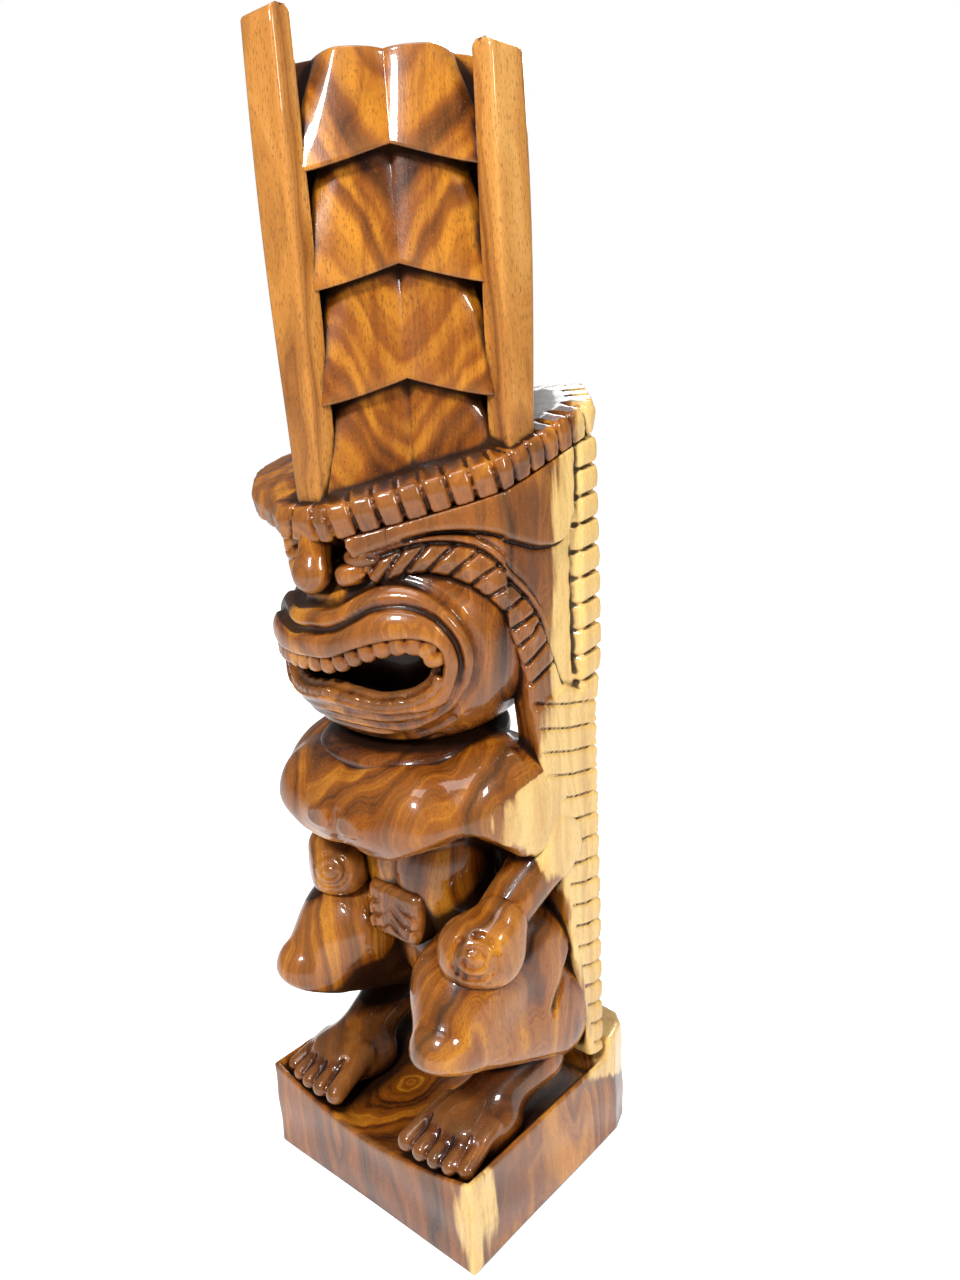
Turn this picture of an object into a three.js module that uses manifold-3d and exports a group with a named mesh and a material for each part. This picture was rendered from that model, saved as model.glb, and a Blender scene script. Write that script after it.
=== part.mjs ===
// A standing tiki figure carved from one squared log, split at its carved lines into named sections.
// Millimetres, +Z up. The origin is the middle of the base's underside; the figure faces -Y, its left is +X.
import * as THREE from "three";
import { mergeVertices } from "three/addons/utils/BufferGeometryUtils.js";
import Module from "manifold-3d";

const wasm = await Module();
wasm.setup();

// ---------------------------------------------------------------- driving dimensions
const GAP = 0.3; // clearance between neighbouring sections

const LOG = 134; // side of the squared log
const HALF = LOG / 2;
const WANE = 24; // radius of the log's natural round at the two back corners

const BASE_H = 42; // top of the base block under the feet
const LEDGE_H = 55; // top of the ledge behind the heels
const LEDGE_Y = 37; // where that ledge starts

const FOOT_L = 68; // heel to toe tips
const FOOT_W = 46; // across the toes
const HEEL_W = 28;
const FOOT_X = 41; // middle of the toes, out from the centre
const TOE_R = 5; // a small toe's radius
const BIG_TOE_R = 6.2;
const TOES = 5;
const ANKLE_H = 32; // top of the foot above the base, at the heel

const KNEE_X = 43; // the knees' distance from the centre
const KNEE_Y = -48;
const KNEE_H = 56; // the knee's middle above the base
const KNEE_R = 15;
const HIP_Y = 12; // where thigh and shin end, behind
const THIGH_R = 22;
const SHIN_R = 21;
const THIGH_RISE = 18; // the thigh's end above the knee
const SHIN_DROP = 19; // the shin's end below the knee

const BELLY_R = 25; // the belly between the thighs
const WAIST_R = 33; // the belly under the chest
const CHEST_Z = 201; // middle of the chest
const CHEST_Y = -10;
const CHEST_W = 112;
const CHEST_D = 70;
const CHEST_H = 58;
const PEC_X = 27; // a breast muscle's middle, out from the centre
const PEC_W = 62;
const PEC_H = 40;
const PEC_Y = -58; // front of the breast muscles

const SHOULDER_X = 46;
const SHOULDER_Y = -6;
const SHOULDER_Z = 202;
const ELBOW_X = 52;
const ELBOW_Y = 14;
const ELBOW_Z = 171;
const UPPER_ARM_R = 18;
const ELBOW_R = 13;
const WRIST_R = 11;
const HAND_X = 48;
const HAND_Y = -31;
const HAND_Z = 137;
const HAND_W = 33;
const HAND_H = 29;

const KNOT_W = 26; // loincloth knot
const KNOT_H = 30;
const KNOT_Y = -40; // its front
const KNOT_Z = 150; // its middle

const NECK_R = 36;
const NECK_H = 24;
const CHIN_Z = 236; // underside of the jaw

const HEAD_W = 122;
const HEAD_FRONT = -63; // front of the upper lip
const HEAD_BACK = 30;
const HEAD_H = 88; // underside of the jaw to the brow plate
const CHIN_BACK = 14; // how far the chin sits behind the upper lip
const BROW_BACK = 30; // how fast the face falls back above the lips, for the whole height of the head

const MOUTH_Z = 263; // middle of the open mouth
const MOUTH_H = 18;
const MOUTH_BACK = -24; // how far back its corners reach
const TOOTH = 6.6; // length of one tooth along the row
const TOOTH_H = 7;
const TOOTH_T = 8; // thickness of the row of teeth
const LIP = 7; // how far the teeth stand behind the lips

const NOSE_W = 21;
const NOSE_H = 17;
const NOSTRIL_X = 15;
const NOSE_Z = 303;
const EYE_X = 25;
const EYE_Y = -49;
const EYE_W = 17;
const EYE_H = 11;

const PLATE_T = 17; // thickness of the brow plate at its rim
const PLATE_PITCH = THREE.MathUtils.degToRad(17.4); // its rise towards the back
const PLATE_Z = 354; // its top on the log's axis
const PROW_W = 32; // the plate's flat front edge
const CHEEK_Y = -2; // where the plate's slanted front edges meet its sides
const PLATE_BACK = 63; // how far back its top reaches
const CORNER = 22; // the plate's clipped back corners
const RIM_W = 11; // width of the notched rim
const RIM_PITCH = 9.6; // length of one lobe of the rim
const RIM_NOTCH = 2.4; // depth of the notches between its lobes

const STRIP_T = 15; // thickness of the side strips
const STRIP_BACK = 47; // back of the strips at the brow plate
const STRIP_BACK_LOW = 38; // back of the strips at the base
const STRIP_FRONT = -2; // front of the strips under the head
const STRIP_FRONT_LOW = 27; // front of the strips at the base
const STRIP_Z = 243; // where the long braids end under the temples
const BACK_BRAID_W = 16;
const LONG_PITCH = 13; // length of one lobe on the long braids
const EYE_PITCH = 10; // length of one lobe on the eye braids
const EYE_BRAID_W = 10; // its width beside the nose
const EYE_BRAID_T = 11;

const BLADE_W = 19;
const BLADE_D = 14;
const BLADE_OUT = 62; // outer face of a blade, from the log's axis
const FIGURE_H = 508; // top of the front blade
const SHORT_BLADE = 14; // how much lower the other three blades end
const CROWN_TOP = 492; // top of the highest tier
const TIERS = 4;
const TIER_H = 43; // height of one tier
const TIER_FACE = 47; // from the axis to the middle of a tier's lower edge
const TIER_NECK = 37; // the same at the tier's top
const TIER_ARCH = 9; // how much higher a lower edge is at its middle than at its ends

// ---------------------------------------------------------------- solids from three.js geometry
const vec = (x, y, z) => new THREE.Vector3(x, y, z);
const at = (x, y, z) => new THREE.Matrix4().makeTranslation(x, y, z);
const lerp = THREE.MathUtils.lerp;
const TURN = 2 * Math.PI;

// A closed BufferGeometry as a solid, moved by a matrix; faces that point inwards are turned round.
function solid(geometry, matrix = new THREE.Matrix4()) {
  const g = geometry.clone().applyMatrix4(matrix);
  g.deleteAttribute("normal");
  g.deleteAttribute("uv");
  const merged = mergeVertices(g, 1e-4);
  const points = merged.attributes.position;
  const faces = Array.from(merged.index.array);
  let volume = 0;
  for (let i = 0; i < faces.length; i += 3) {
    const [a, b, c] = [0, 1, 2].map((k) => vec(0, 0, 0).fromBufferAttribute(points, faces[i + k]));
    volume += a.dot(b.cross(c));
  }
  if (volume < 0) faces.reverse();
  return new wasm.Manifold(
    new wasm.Mesh({
      numProp: 3,
      vertProperties: new Float32Array(points.array),
      triVerts: new Uint32Array(faces),
    }),
  );
}

function join(...solids) {
  return solids.flat().reduce((a, b) => a.add(b));
}

const mirrorX = (s) => s.mirror([1, 0, 0]);

// The largest body left after a cut; the rest are offcuts.
function largest(s) {
  return s.decompose().reduce((a, b) => (b.volume() > a.volume() ? b : a));
}

// An ellipsoid with full sizes w, d and h; tilt turns it about X.
function ellipsoid(centre, w, d, h, g = 0, tilt = 0, across = 12, down = 8) {
  const m = at(centre.x, centre.y, centre.z)
    .multiply(new THREE.Matrix4().makeRotationX(tilt))
    .multiply(new THREE.Matrix4().makeScale(w / 2 + g, d / 2 + g, h / 2 + g));
  return solid(new THREE.SphereGeometry(1, across, down), m);
}

// A limb from a to b with round ends of radius ra and rb.
function limb(a, b, ra, rb, sides = 12) {
  const length = a.distanceTo(b);
  const profile = [new THREE.Vector2(0, -ra)];
  for (let k = -2; k <= 2; k++) {
    const angle = (k * Math.PI) / 6;
    const [r, y] = k <= 0 ? [ra, 0] : [rb, length];
    profile.push(new THREE.Vector2(r * Math.cos(angle), y + r * Math.sin(angle)));
    if (k === 0) profile.push(new THREE.Vector2(rb, length));
  }
  profile.push(new THREE.Vector2(0, length + rb));
  const along = b.clone().sub(a).normalize();
  const turn = new THREE.Quaternion().setFromUnitVectors(vec(0, 1, 0), along);
  const m = new THREE.Matrix4().compose(a, turn, vec(1, 1, 1));
  return solid(new THREE.LatheGeometry(profile, sides), m);
}

// An upright prism over a plan outline of [x, y] points, from z0 to z1.
function prism(outline, z0, z1) {
  const shape = new THREE.Shape(outline.map(([x, y]) => new THREE.Vector2(x, y)));
  const geometry = new THREE.ExtrudeGeometry(shape, { depth: z1 - z0, bevelEnabled: false });
  return solid(geometry, at(0, 0, z0));
}

// A slab over an outline of [y, z] points, from x0 to x1.
function slab(outline, x0, x1) {
  const shape = new THREE.Shape(outline.map(([y, z]) => new THREE.Vector2(y, z)));
  const geometry = new THREE.ExtrudeGeometry(shape, { depth: x1 - x0, bevelEnabled: false });
  const turn = new THREE.Matrix4().makeBasis(vec(0, 1, 0), vec(0, 0, 1), vec(1, 0, 0));
  return solid(geometry, at(x0, 0, 0).multiply(turn));
}

// A body lofted through rings of points, with the same count in each ring.
function loft(rows) {
  const sides = rows[0].length;
  const last = rows.length - 1;
  const geometry = new THREE.CylinderGeometry(1, 1, 1, sides, last);
  const position = geometry.attributes.position;
  const middles = rows.map((row) => row.reduce((s, p) => s.add(p), vec(0, 0, 0)).divideScalar(sides));
  for (let i = 0; i < position.count; i++) {
    const p = vec(0, 0, 0).fromBufferAttribute(position, i);
    const row = Math.round((0.5 - p.y) * last);
    const k = Math.round((Math.atan2(p.x, p.z) / TURN + 1) * sides) % sides;
    const q = Math.hypot(p.x, p.z) < 0.5 ? middles[row] : rows[row][k];
    position.setXYZ(i, q.x, q.y, q.z);
  }
  return solid(geometry);
}

// An oval ring of points round a centre, in plan.
function oval(cx, cy, z, rx, ry, sides = 16, power = 2) {
  return Array.from({ length: sides }, (_, k) => {
    const c = Math.cos((k / sides) * TURN);
    const s = Math.sin((k / sides) * TURN);
    const square = (Math.abs(c) ** power + Math.abs(s) ** power) ** (-1 / power);
    return vec(cx + rx * square * c, cy + ry * square * s, z);
  });
}

// A row of lobes along a path: section(t, swell) gives [sideways, outwards] points, and swell is 0 in a notch.
// A grown row has no notches, so it cuts a plain channel into what it meets.
function lobes(path, pitch, out, section, g) {
  const count = Math.max(2, Math.round(path.getLength() / pitch));
  const plain = g > 0;
  const steps = plain && path.isLineCurve3 ? count : 3 * count;
  const rows = Array.from({ length: steps + 1 }, (_, i) => {
    const t = i / steps;
    const point = path.getPointAt(t);
    const ahead = path.getPointAt(Math.min(1, t + 0.01));
    const along = ahead.sub(path.getPointAt(Math.max(0, t - 0.01))).normalize();
    const outward = out(t);
    outward.addScaledVector(along, -outward.dot(along)).normalize();
    const across = vec(0, 0, 0).crossVectors(along, outward);
    return section(t, plain || i % 3 ? 1 : 0).map(([a, b]) =>
      point.clone().addScaledVector(across, a).addScaledVector(outward, b),
    );
  });
  return loft(rows);
}

// The section of a long braid: flat behind, bevelled in front, lower in its notches.
function braidSection(width, thickness, swell, g) {
  const h = (swell ? thickness : 0.76 * thickness) + g;
  const w = width / 2 - (swell ? 0 : 1) + g;
  return [[-w, -g], [w, -g], [w, 0.6 * h], [0.6 * w, h], [-0.6 * w, h], [-w, 0.6 * h]];
}

// ---------------------------------------------------------------- base and legs
// The log's outline in plan, from a front edge back, with the natural round at the back corners.
function logOutline(front, g) {
  const points = [[-HALF - g, front - g], [HALF + g, front - g]];
  const arc = 3;
  for (const [cx, start] of [[HALF - WANE, 0], [WANE - HALF, Math.PI / 2]]) {
    for (let k = 0; k <= arc; k++) {
      const angle = start + (k / arc) * (Math.PI / 2);
      const r = WANE + g;
      points.push([cx + r * Math.cos(angle), HALF - WANE + r * Math.sin(angle)]);
    }
  }
  return points;
}

function baseBlock(g) {
  const floor = prism(logOutline(-HALF, g), 0, BASE_H + g);
  const ledge = prism(logOutline(LEDGE_Y, g), 0, LEDGE_H + g);
  return join(floor, ledge);
}

function foot(g) {
  const toeY = -HALF + BIG_TOE_R;
  const rows = Array.from({ length: 5 }, (_, i) => {
    const t = i / 4;
    const y = lerp(toeY + TOE_R, toeY + FOOT_L, t);
    const half = lerp(FOOT_W / 2 - 2, HEEL_W / 2, t) + g;
    const top = lerp(TOE_R * 2, ANKLE_H, t * t) + g;
    return Array.from({ length: 10 }, (_, k) => {
      const a = (k / 10) * TURN;
      const up = Math.sin(a) * (Math.sin(a) > 0 ? top : TOE_R + g);
      return vec(FOOT_X + half * Math.cos(a), y, BASE_H + GAP + up);
    });
  });
  const toes = Array.from({ length: TOES }, (_, k) => {
    const r = (k ? TOE_R : BIG_TOE_R) + g;
    const x = FOOT_X + (k / (TOES - 1) - 0.5) * (FOOT_W - 2 * TOE_R);
    const y = toeY + 0.6 * k;
    return limb(vec(x, y, BASE_H + TOE_R), vec(x, y + 3 * TOE_R, BASE_H + 1.6 * TOE_R), r, r, 6);
  });
  return join(loft(rows), toes);
}

const knee = vec(KNEE_X, KNEE_Y, BASE_H + KNEE_H);

function thigh(g) {
  return limb(knee, vec(KNEE_X - 1, HIP_Y, knee.z + THIGH_RISE), KNEE_R + g, THIGH_R + g, 14);
}

function shin(g) {
  const low = vec(KNEE_X, HIP_Y, knee.z - SHIN_DROP);
  return limb(knee.clone().add(vec(0, 5, -4)), low, KNEE_R - 1 + g, SHIN_R + g, 14);
}

// ---------------------------------------------------------------- torso and arms
function belly(g) {
  const low = vec(0, 0, knee.z - 6);
  const high = vec(0, CHEST_Y + 4, CHEST_Z - WAIST_R);
  return limb(low, high, BELLY_R + g, WAIST_R + g, 16);
}

function chest(g) {
  const barrel = ellipsoid(vec(0, CHEST_Y, CHEST_Z + 4), CHEST_W, CHEST_D, CHEST_H, g, 0, 16, 10);
  const pecs = [-1, 1].map((side) =>
    ellipsoid(vec(side * PEC_X, PEC_Y + PEC_W / 2, CHEST_Z - 3), PEC_W, PEC_W, PEC_H, g),
  );
  return join(barrel, pecs);
}

const elbow = vec(ELBOW_X, ELBOW_Y, ELBOW_Z);
const hand0 = vec(HAND_X, HAND_Y, HAND_Z);

function upperArm(g) {
  return limb(vec(SHOULDER_X, SHOULDER_Y, SHOULDER_Z), elbow, UPPER_ARM_R + g, ELBOW_R + 1 + g, 14);
}

function forearm(g) {
  return limb(elbow, hand0.clone().add(vec(1, 9, 5)), ELBOW_R + g, WRIST_R + g);
}

function hand(g) {
  return ellipsoid(hand0, HAND_W, HAND_W, HAND_H, g, 0.5);
}

function loinclothKnot(g) {
  const depth = 0.8 * KNOT_W;
  const flap = ellipsoid(vec(0, KNOT_Y + depth / 2 + 2, KNOT_Z - 3), KNOT_W, depth, KNOT_H, g);
  const knot = ellipsoid(
    vec(0, KNOT_Y + depth / 3, KNOT_Z + KNOT_H / 4), 0.7 * KNOT_W, 0.7 * depth, KNOT_H / 2, g,
  );
  return join(flap, knot);
}

function neck(g) {
  const y = CHEST_Y;
  const low = CHIN_Z - NECK_H - g;
  const high = CHIN_Z + NECK_H / 2 + g;
  return loft([
    oval(0, y, low, NECK_R + 8 + g, NECK_R + 2 + g),
    oval(0, y, (low + high) / 2, NECK_R + 2 + g, NECK_R - 2 + g),
    oval(0, y, high, NECK_R - 4 + g, NECK_R - 6 + g),
  ]);
}

// ---------------------------------------------------------------- head
// A section of the head at a share of its height, 0 at the jaw: a rounded square, smaller at the chin.
function headRow(share, g, inset = 0) {
  const swell = Math.sqrt(Math.max(0, 1 - (1 - Math.min(1, 2.4 * share + 0.1)) ** 2));
  const brow = Math.max(0, share - 0.6) * BROW_BACK;
  const front = HEAD_FRONT + CHIN_BACK * (1 - swell) + brow + inset;
  const half = (HEAD_W / 2 - inset) * lerp(0.6, 1, swell);
  const z = CHIN_Z + share * HEAD_H;
  const middle = (front + HEAD_BACK) / 2;
  return oval(0, middle, z, half + g, (HEAD_BACK - front) / 2 + g, 20, 2.15);
}

// The brow plate's underside at a depth y.
const underPlate = (y) => PLATE_Z + y * Math.tan(PLATE_PITCH) - PLATE_T / Math.cos(PLATE_PITCH);

function headBody(g, inset) {
  const shares = [0, 0.06, 0.18, 0.36, 0.6, 0.8, 1, 1.2];
  return loft(shares.map((share) => headRow(share, g, inset)));
}

// The open mouth: a wedge across the face, round a tongue of wood that joins the jaws.
function mouth() {
  const low = MOUTH_Z - MOUTH_H / 2;
  const high = MOUTH_Z + MOUTH_H / 2;
  const wedge = slab(
    [
      [-LOG, low],
      [MOUTH_BACK - MOUTH_H, low],
      [MOUTH_BACK, MOUTH_Z - MOUTH_H / 4],
      [MOUTH_BACK, MOUTH_Z + MOUTH_H / 4],
      [MOUTH_BACK - MOUTH_H, high],
      [-LOG, high],
    ],
    -HALF,
    HALF,
  );
  const depth = LIP + TOOTH_T + 9;
  const tongue = prism(
    headRow(0.3, 0, depth).map((p) => [p.x, p.y]),
    low - MOUTH_H,
    high + MOUTH_H,
  );
  return wedge.subtract(tongue);
}

// A row of teeth round the front of the head, standing up or hanging down from z.
function teeth(z, up, g) {
  const share = (z - CHIN_Z) / HEAD_H;
  const ring = headRow(share, 0, LIP + TOOTH_T / 2);
  const front = ring.filter((p) => p.y < MOUTH_BACK - MOUTH_H / 2);
  front.sort((a, b) => Math.atan2(a.x, -a.y) - Math.atan2(b.x, -b.y));
  const path = new THREE.CatmullRomCurve3(front.map((p) => vec(p.x, p.y, z)));
  const w = TOOTH_T / 2 + g;
  return lobes(path, TOOTH, () => vec(0, 0, up), (t, swell) => {
    const h = (swell ? TOOTH_H : 0.6 * TOOTH_H) + g;
    return [[-w, -g], [w, -g], [w, 0.7 * h], [0.4 * w, h], [-0.4 * w, h], [-w, 0.7 * h]];
  }, g);
}

const upperTeeth = (g) => teeth(MOUTH_Z + MOUTH_H / 2 - GAP, -1, g);
const lowerTeeth = (g) => teeth(MOUTH_Z - MOUTH_H / 2 + GAP, 1, g);

function nose(g) {
  const y = -HALF + NOSE_H / 2 + 1;
  const bridge = limb(vec(0, y + 9, NOSE_Z + 12), vec(0, y + 2, NOSE_Z), 6 + g, NOSE_W / 3 + g, 10);
  const tip = ellipsoid(vec(0, y, NOSE_Z), NOSE_W, NOSE_H, NOSE_H, g);
  const wings = [-1, 1].map((s) =>
    ellipsoid(vec(s * NOSTRIL_X, y + 5, NOSE_Z + 1), 0.7 * NOSE_W, NOSE_H, 0.7 * NOSE_H, g, 0, 8, 6),
  );
  return join(bridge, tip, wings);
}

function eye(g) {
  return ellipsoid(vec(EYE_X, EYE_Y, NOSE_Z + 7), EYE_W, EYE_H, EYE_H, g, 0, 10, 8);
}

// ---------------------------------------------------------------- brow plate and its rim
const plateMatrix = at(0, 0, PLATE_Z).multiply(new THREE.Matrix4().makeRotationX(PLATE_PITCH));

// The plate's outline: a flat prow, slanted cheeks, straight sides and clipped back corners.
function plateOutline(inset) {
  const half = HALF - inset;
  const prow = PROW_W / 2 - 0.4 * inset;
  const corner = CORNER - 0.4 * inset;
  const right = [
    [prow, -half],
    [half, CHEEK_Y],
    [half, PLATE_BACK - inset - corner],
    [half - corner, PLATE_BACK - inset],
  ];
  const left = right.map(([x, y]) => [-x, y]).reverse();
  return [...right, ...left];
}

// A slab over the plate's outline, between two heights above the plate's tilted top.
function plateSlab(inset, low, high) {
  const stretch = 1 / Math.cos(PLATE_PITCH);
  const shape = new THREE.Shape(
    plateOutline(inset).map(([x, y]) => new THREE.Vector2(x, y * stretch)),
  );
  const geometry = new THREE.ExtrudeGeometry(shape, { depth: high - low, bevelEnabled: false });
  return solid(geometry, plateMatrix.clone().multiply(at(0, 0, low)));
}

const browPlate = (g) => plateSlab(RIM_W - g, -PLATE_T - g, g);

// One straight run of the rim, between two corners of the plate's outline.
function rimRun(from, to, g) {
  const onTop = ([x, y]) =>
    vec(x, y, PLATE_Z + y * Math.tan(PLATE_PITCH)).addScaledVector(rimUp, -PLATE_T / 2);
  const outline = plateOutline(RIM_W / 2);
  const ends = [outline[from], outline[to]].map(onTop);
  const path = new THREE.LineCurve3(ends[0], ends[1]);
  const outward = vec(0, 0, 0).crossVectors(ends[1].clone().sub(ends[0]), rimUp);
  const half = PLATE_T / 2;
  return lobes(path, RIM_PITCH, () => outward.clone(), (t, swell) => {
    const notch = swell ? 0 : RIM_NOTCH;
    const w = RIM_W / 2;
    const h = half + g;
    return [
      [-h, GAP - w - g],
      [-h, 0.4 * w - notch + g],
      [-0.5 * h, w - notch + g],
      [0.4 * h, w - notch + g],
      [h - notch / 2, 0.2 * w + g],
      [h - notch / 2, GAP - w - g],
    ];
  }, g);
}

const rimUp = vec(0, 0, 1).transformDirection(plateMatrix);

// ---------------------------------------------------------------- side strips and braids
// A share of the way down the strips, 0 under the temples and 1 at the base.
const down = (z) => (STRIP_Z - z) / (STRIP_Z - BASE_H);
const stripFront = (z) => lerp(STRIP_FRONT, STRIP_FRONT_LOW, down(z));
const stripBack = (z) => lerp(STRIP_BACK - BACK_BRAID_W / 4, STRIP_BACK_LOW, down(z));

function templePanel(g) {
  const back = STRIP_BACK - BACK_BRAID_W;
  const low = STRIP_Z + LONG_PITCH;
  const outline = [
    [8 - g, low - g],
    [back + g, low - g],
    [back + g, PLATE_Z + PLATE_T],
    [-16 - g, PLATE_Z],
    [-16 - g, 312],
    [0 - g, 300],
    [8 - g, 280],
  ];
  return slab(outline, HALF - STRIP_T - g, HALF - 2 + g);
}

function backBraid(g) {
  const y = STRIP_BACK - BACK_BRAID_W / 2;
  const x = HALF - STRIP_T;
  const path = new THREE.LineCurve3(vec(x, y - 3, STRIP_Z), vec(x, y, PLATE_Z + PLATE_T));
  const out = () => vec(1, 0.3, 0);
  const section = (t, swell) => braidSection(BACK_BRAID_W, STRIP_T - 2, swell, g);
  return lobes(path, LONG_PITCH, out, section, g);
}

function capeBraid(g) {
  const middle = (z) => vec(HALF - STRIP_T, (stripFront(z) + stripBack(z)) / 2, z);
  const low = middle(BASE_H - GAP);
  const top = middle(STRIP_Z);
  const section = (t, swell) => {
    const z = lerp(low.z, top.z, t);
    return braidSection(stripBack(z) - stripFront(z), STRIP_T - 1, swell, g);
  };
  return lobes(new THREE.LineCurve3(low, top), LONG_PITCH, () => vec(1, 0, 0), section, g);
}

function eyeBraid(g) {
  const side = HALF - EYE_BRAID_T - 0.5;
  const path = new THREE.CatmullRomCurve3([
    vec(22, -50, NOSE_Z - 3),
    vec(34, -44, NOSE_Z + 3),
    vec(44, -34, NOSE_Z + 5),
    vec(52, -20, NOSE_Z),
    vec(side, -6, NOSE_Z - 15),
    vec(side, 3, NOSE_Z - 34),
    vec(side, 9, STRIP_Z + GAP),
  ]);
  const out = (t) => vec(1, 1.4 * Math.min(0, t * 1.6 - 1), 0);
  const wide = 0.5 * (stripBack(STRIP_Z) - stripFront(STRIP_Z));
  const section = (t, swell) =>
    braidSection(lerp(EYE_BRAID_W, wide, Math.min(1, 1.3 * t)), EYE_BRAID_T, swell, g);
  return lobes(path, EYE_PITCH, out, section, g);
}

// ---------------------------------------------------------------- crown
// A blade: an upright post with a ridge down its outer face, turned to one of the four sides.
function blade(quarter, top, g) {
  const w = BLADE_W / 2 + g;
  const inner = BLADE_D - BLADE_OUT + g;
  const outer = -BLADE_OUT - g;
  const outline = [[-w, inner], [-w, outer + BLADE_D / 3], [-w / 3, outer], [w, outer + 2], [w, inner]];
  return prism(outline, PLATE_Z - 2 * PLATE_T, top + g).rotate([0, 0, 90 * quarter]);
}

// One tier of the crown: four faces between the blades, each with a ridge down its middle, flaring downwards.
function tier(index, g) {
  const low = CROWN_TOP - (index + 1) * TIER_H;
  const clip = BLADE_OUT - BLADE_D + 2;
  const row = (z, face, arch) => {
    const ends = (face + g) * Math.SQRT2 - clip;
    const points = [];
    for (let k = 0; k < 4; k++) {
      const a = (k * Math.PI) / 2;
      const spin = (x, y, up) =>
        points.push(vec(x * Math.cos(a) - y * Math.sin(a), x * Math.sin(a) + y * Math.cos(a), up));
      spin(clip, ends, z);
      spin((face + g + 2) / Math.SQRT2, (face + g + 2) / Math.SQRT2, z + arch);
      spin(ends, clip, z);
    }
    return points;
  };
  return loft([
    row(low - g, TIER_FACE, TIER_ARCH),
    row(low + 0.3 * TIER_H, TIER_FACE - 1.5, TIER_ARCH / 2),
    row(low + 0.7 * TIER_H, TIER_NECK + 2, TIER_ARCH / 4),
    row(low + TIER_H + (index ? TIER_ARCH : 0) + g, TIER_NECK, 0),
  ]);
}

// ---------------------------------------------------------------- assembly
const WOOD = {
  heart: { color: 0x8a4a1c, roughness: 0.22, metalness: 0 },
  dark: { color: 0x5f2d12, roughness: 0.2, metalness: 0 },
  amber: { color: 0xb06f24, roughness: 0.24, metalness: 0 },
  sap: { color: 0xe0b566, roughness: 0.3, metalness: 0 },
};
const materials = Object.fromEntries(
  Object.entries(WOOD).map(([name, look]) => [name, new THREE.MeshStandardMaterial(look)]),
);

const figure = new THREE.Group();
figure.name = "tiki_figure";

const taken = []; // the sections so far, each grown by the clearance

// Adds a section. shape(g) gives its solid grown by g; it is cut back by every section added before it.
function add(name, wood, shape) {
  const made = taken.reduce((s, other) => s.subtract(other), shape(0));
  taken.push(shape(GAP));
  const m = largest(made).getMesh();
  const vertices = new Float32Array(m.numVert * 3);
  for (let i = 0; i < m.numVert; i++) {
    vertices.set(m.vertProperties.subarray(i * m.numProp, i * m.numProp + 3), i * 3);
  }
  const geometry = new THREE.BufferGeometry();
  geometry.setAttribute("position", new THREE.BufferAttribute(vertices, 3));
  geometry.setIndex(new THREE.BufferAttribute(m.triVerts, 1));
  geometry.computeVertexNormals();
  const mesh = new THREE.Mesh(geometry, materials[wood].clone());
  mesh.name = name;
  figure.add(mesh);
}

// Adds a section on the left and its mirror image on the right.
function addPair(name, wood, shape) {
  add("left_" + name, wood, shape);
  add("right_" + name, wood, (g) => mirrorX(shape(g)));
}

// Limits on a section: left of the middle plane, above the brow plate, or under it.
const onLeft = (shape) => (g) => {
  const x = GAP - g;
  const side = prism([[x, -LOG], [LOG, -LOG], [LOG, LOG], [x, LOG]], -LOG, 2 * FIGURE_H);
  return shape(g).intersect(side);
};
const abovePlate = (shape) => (g) => shape(g).subtract(plateSlab(-LOG, -LOG, 2 * GAP - g));
const belowPlate = (shape) => (g) =>
  shape(g).subtract(plateSlab(-LOG, g - PLATE_T - 2 * GAP, FIGURE_H));

add("base_block", "heart", baseBlock);
addPair("foot", "dark", onLeft(foot));
addPair("hand", "heart", hand);
add("loincloth_knot", "dark", loinclothKnot);
addPair("forearm", "heart", forearm);
addPair("thigh", "heart", onLeft(thigh));
addPair("shin", "dark", onLeft(shin));

add("brow_plate", "dark", browPlate);
["front", "left", "back", "right"].forEach((side, quarter) => {
  const top = FIGURE_H - (quarter ? SHORT_BLADE : 0);
  add(side + "_blade", "amber", abovePlate((g) => blade(quarter, top, g)));
});
for (let k = 0; k < TIERS; k++) {
  add(`crown_tier_${k + 1}`, "heart", abovePlate((g) => tier(k, g)));
}
add("front_rim", "dark", (g) => rimRun(7, 0, g));
addPair("cheek_rim", "dark", (g) => rimRun(0, 1, g));
addPair("side_rim", "heart", (g) => rimRun(1, 2, g));
addPair("corner_rim", "sap", (g) => rimRun(2, 3, g));
add("back_rim", "sap", (g) => rimRun(3, 4, g));

add("nose", "heart", belowPlate(nose));
addPair("eye", "dark", belowPlate(eye));
add("upper_teeth", "amber", upperTeeth);
add("lower_teeth", "amber", lowerTeeth);
addPair("eye_braid", "heart", belowPlate(eyeBraid));
addPair("back_braid", "sap", belowPlate(backBraid));
addPair("temple_panel", "sap", belowPlate(templePanel));
addPair("cape_braid", "sap", capeBraid);
add("head", "heart", belowPlate((g) => headBody(g, 0).subtract(mouth())));
add("neck", "dark", neck);
addPair("upper_arm", "amber", onLeft(upperArm));
add("chest", "heart", chest);
add("belly", "heart", belly);

export default figure;
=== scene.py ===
"""Tiki figure carved from one monkeypod log: sculpted meshes, wood finish, studio light and camera.

Everything is worked out in millimetres in the frame of the CAD model: origin at the centre of the
base's underside, the figure faces -Y, +Z is up. It becomes metres when a mesh is made.
"""
import math

import bpy
import numpy as np
import openvdb as vdb
from mathutils import Matrix, Vector


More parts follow.
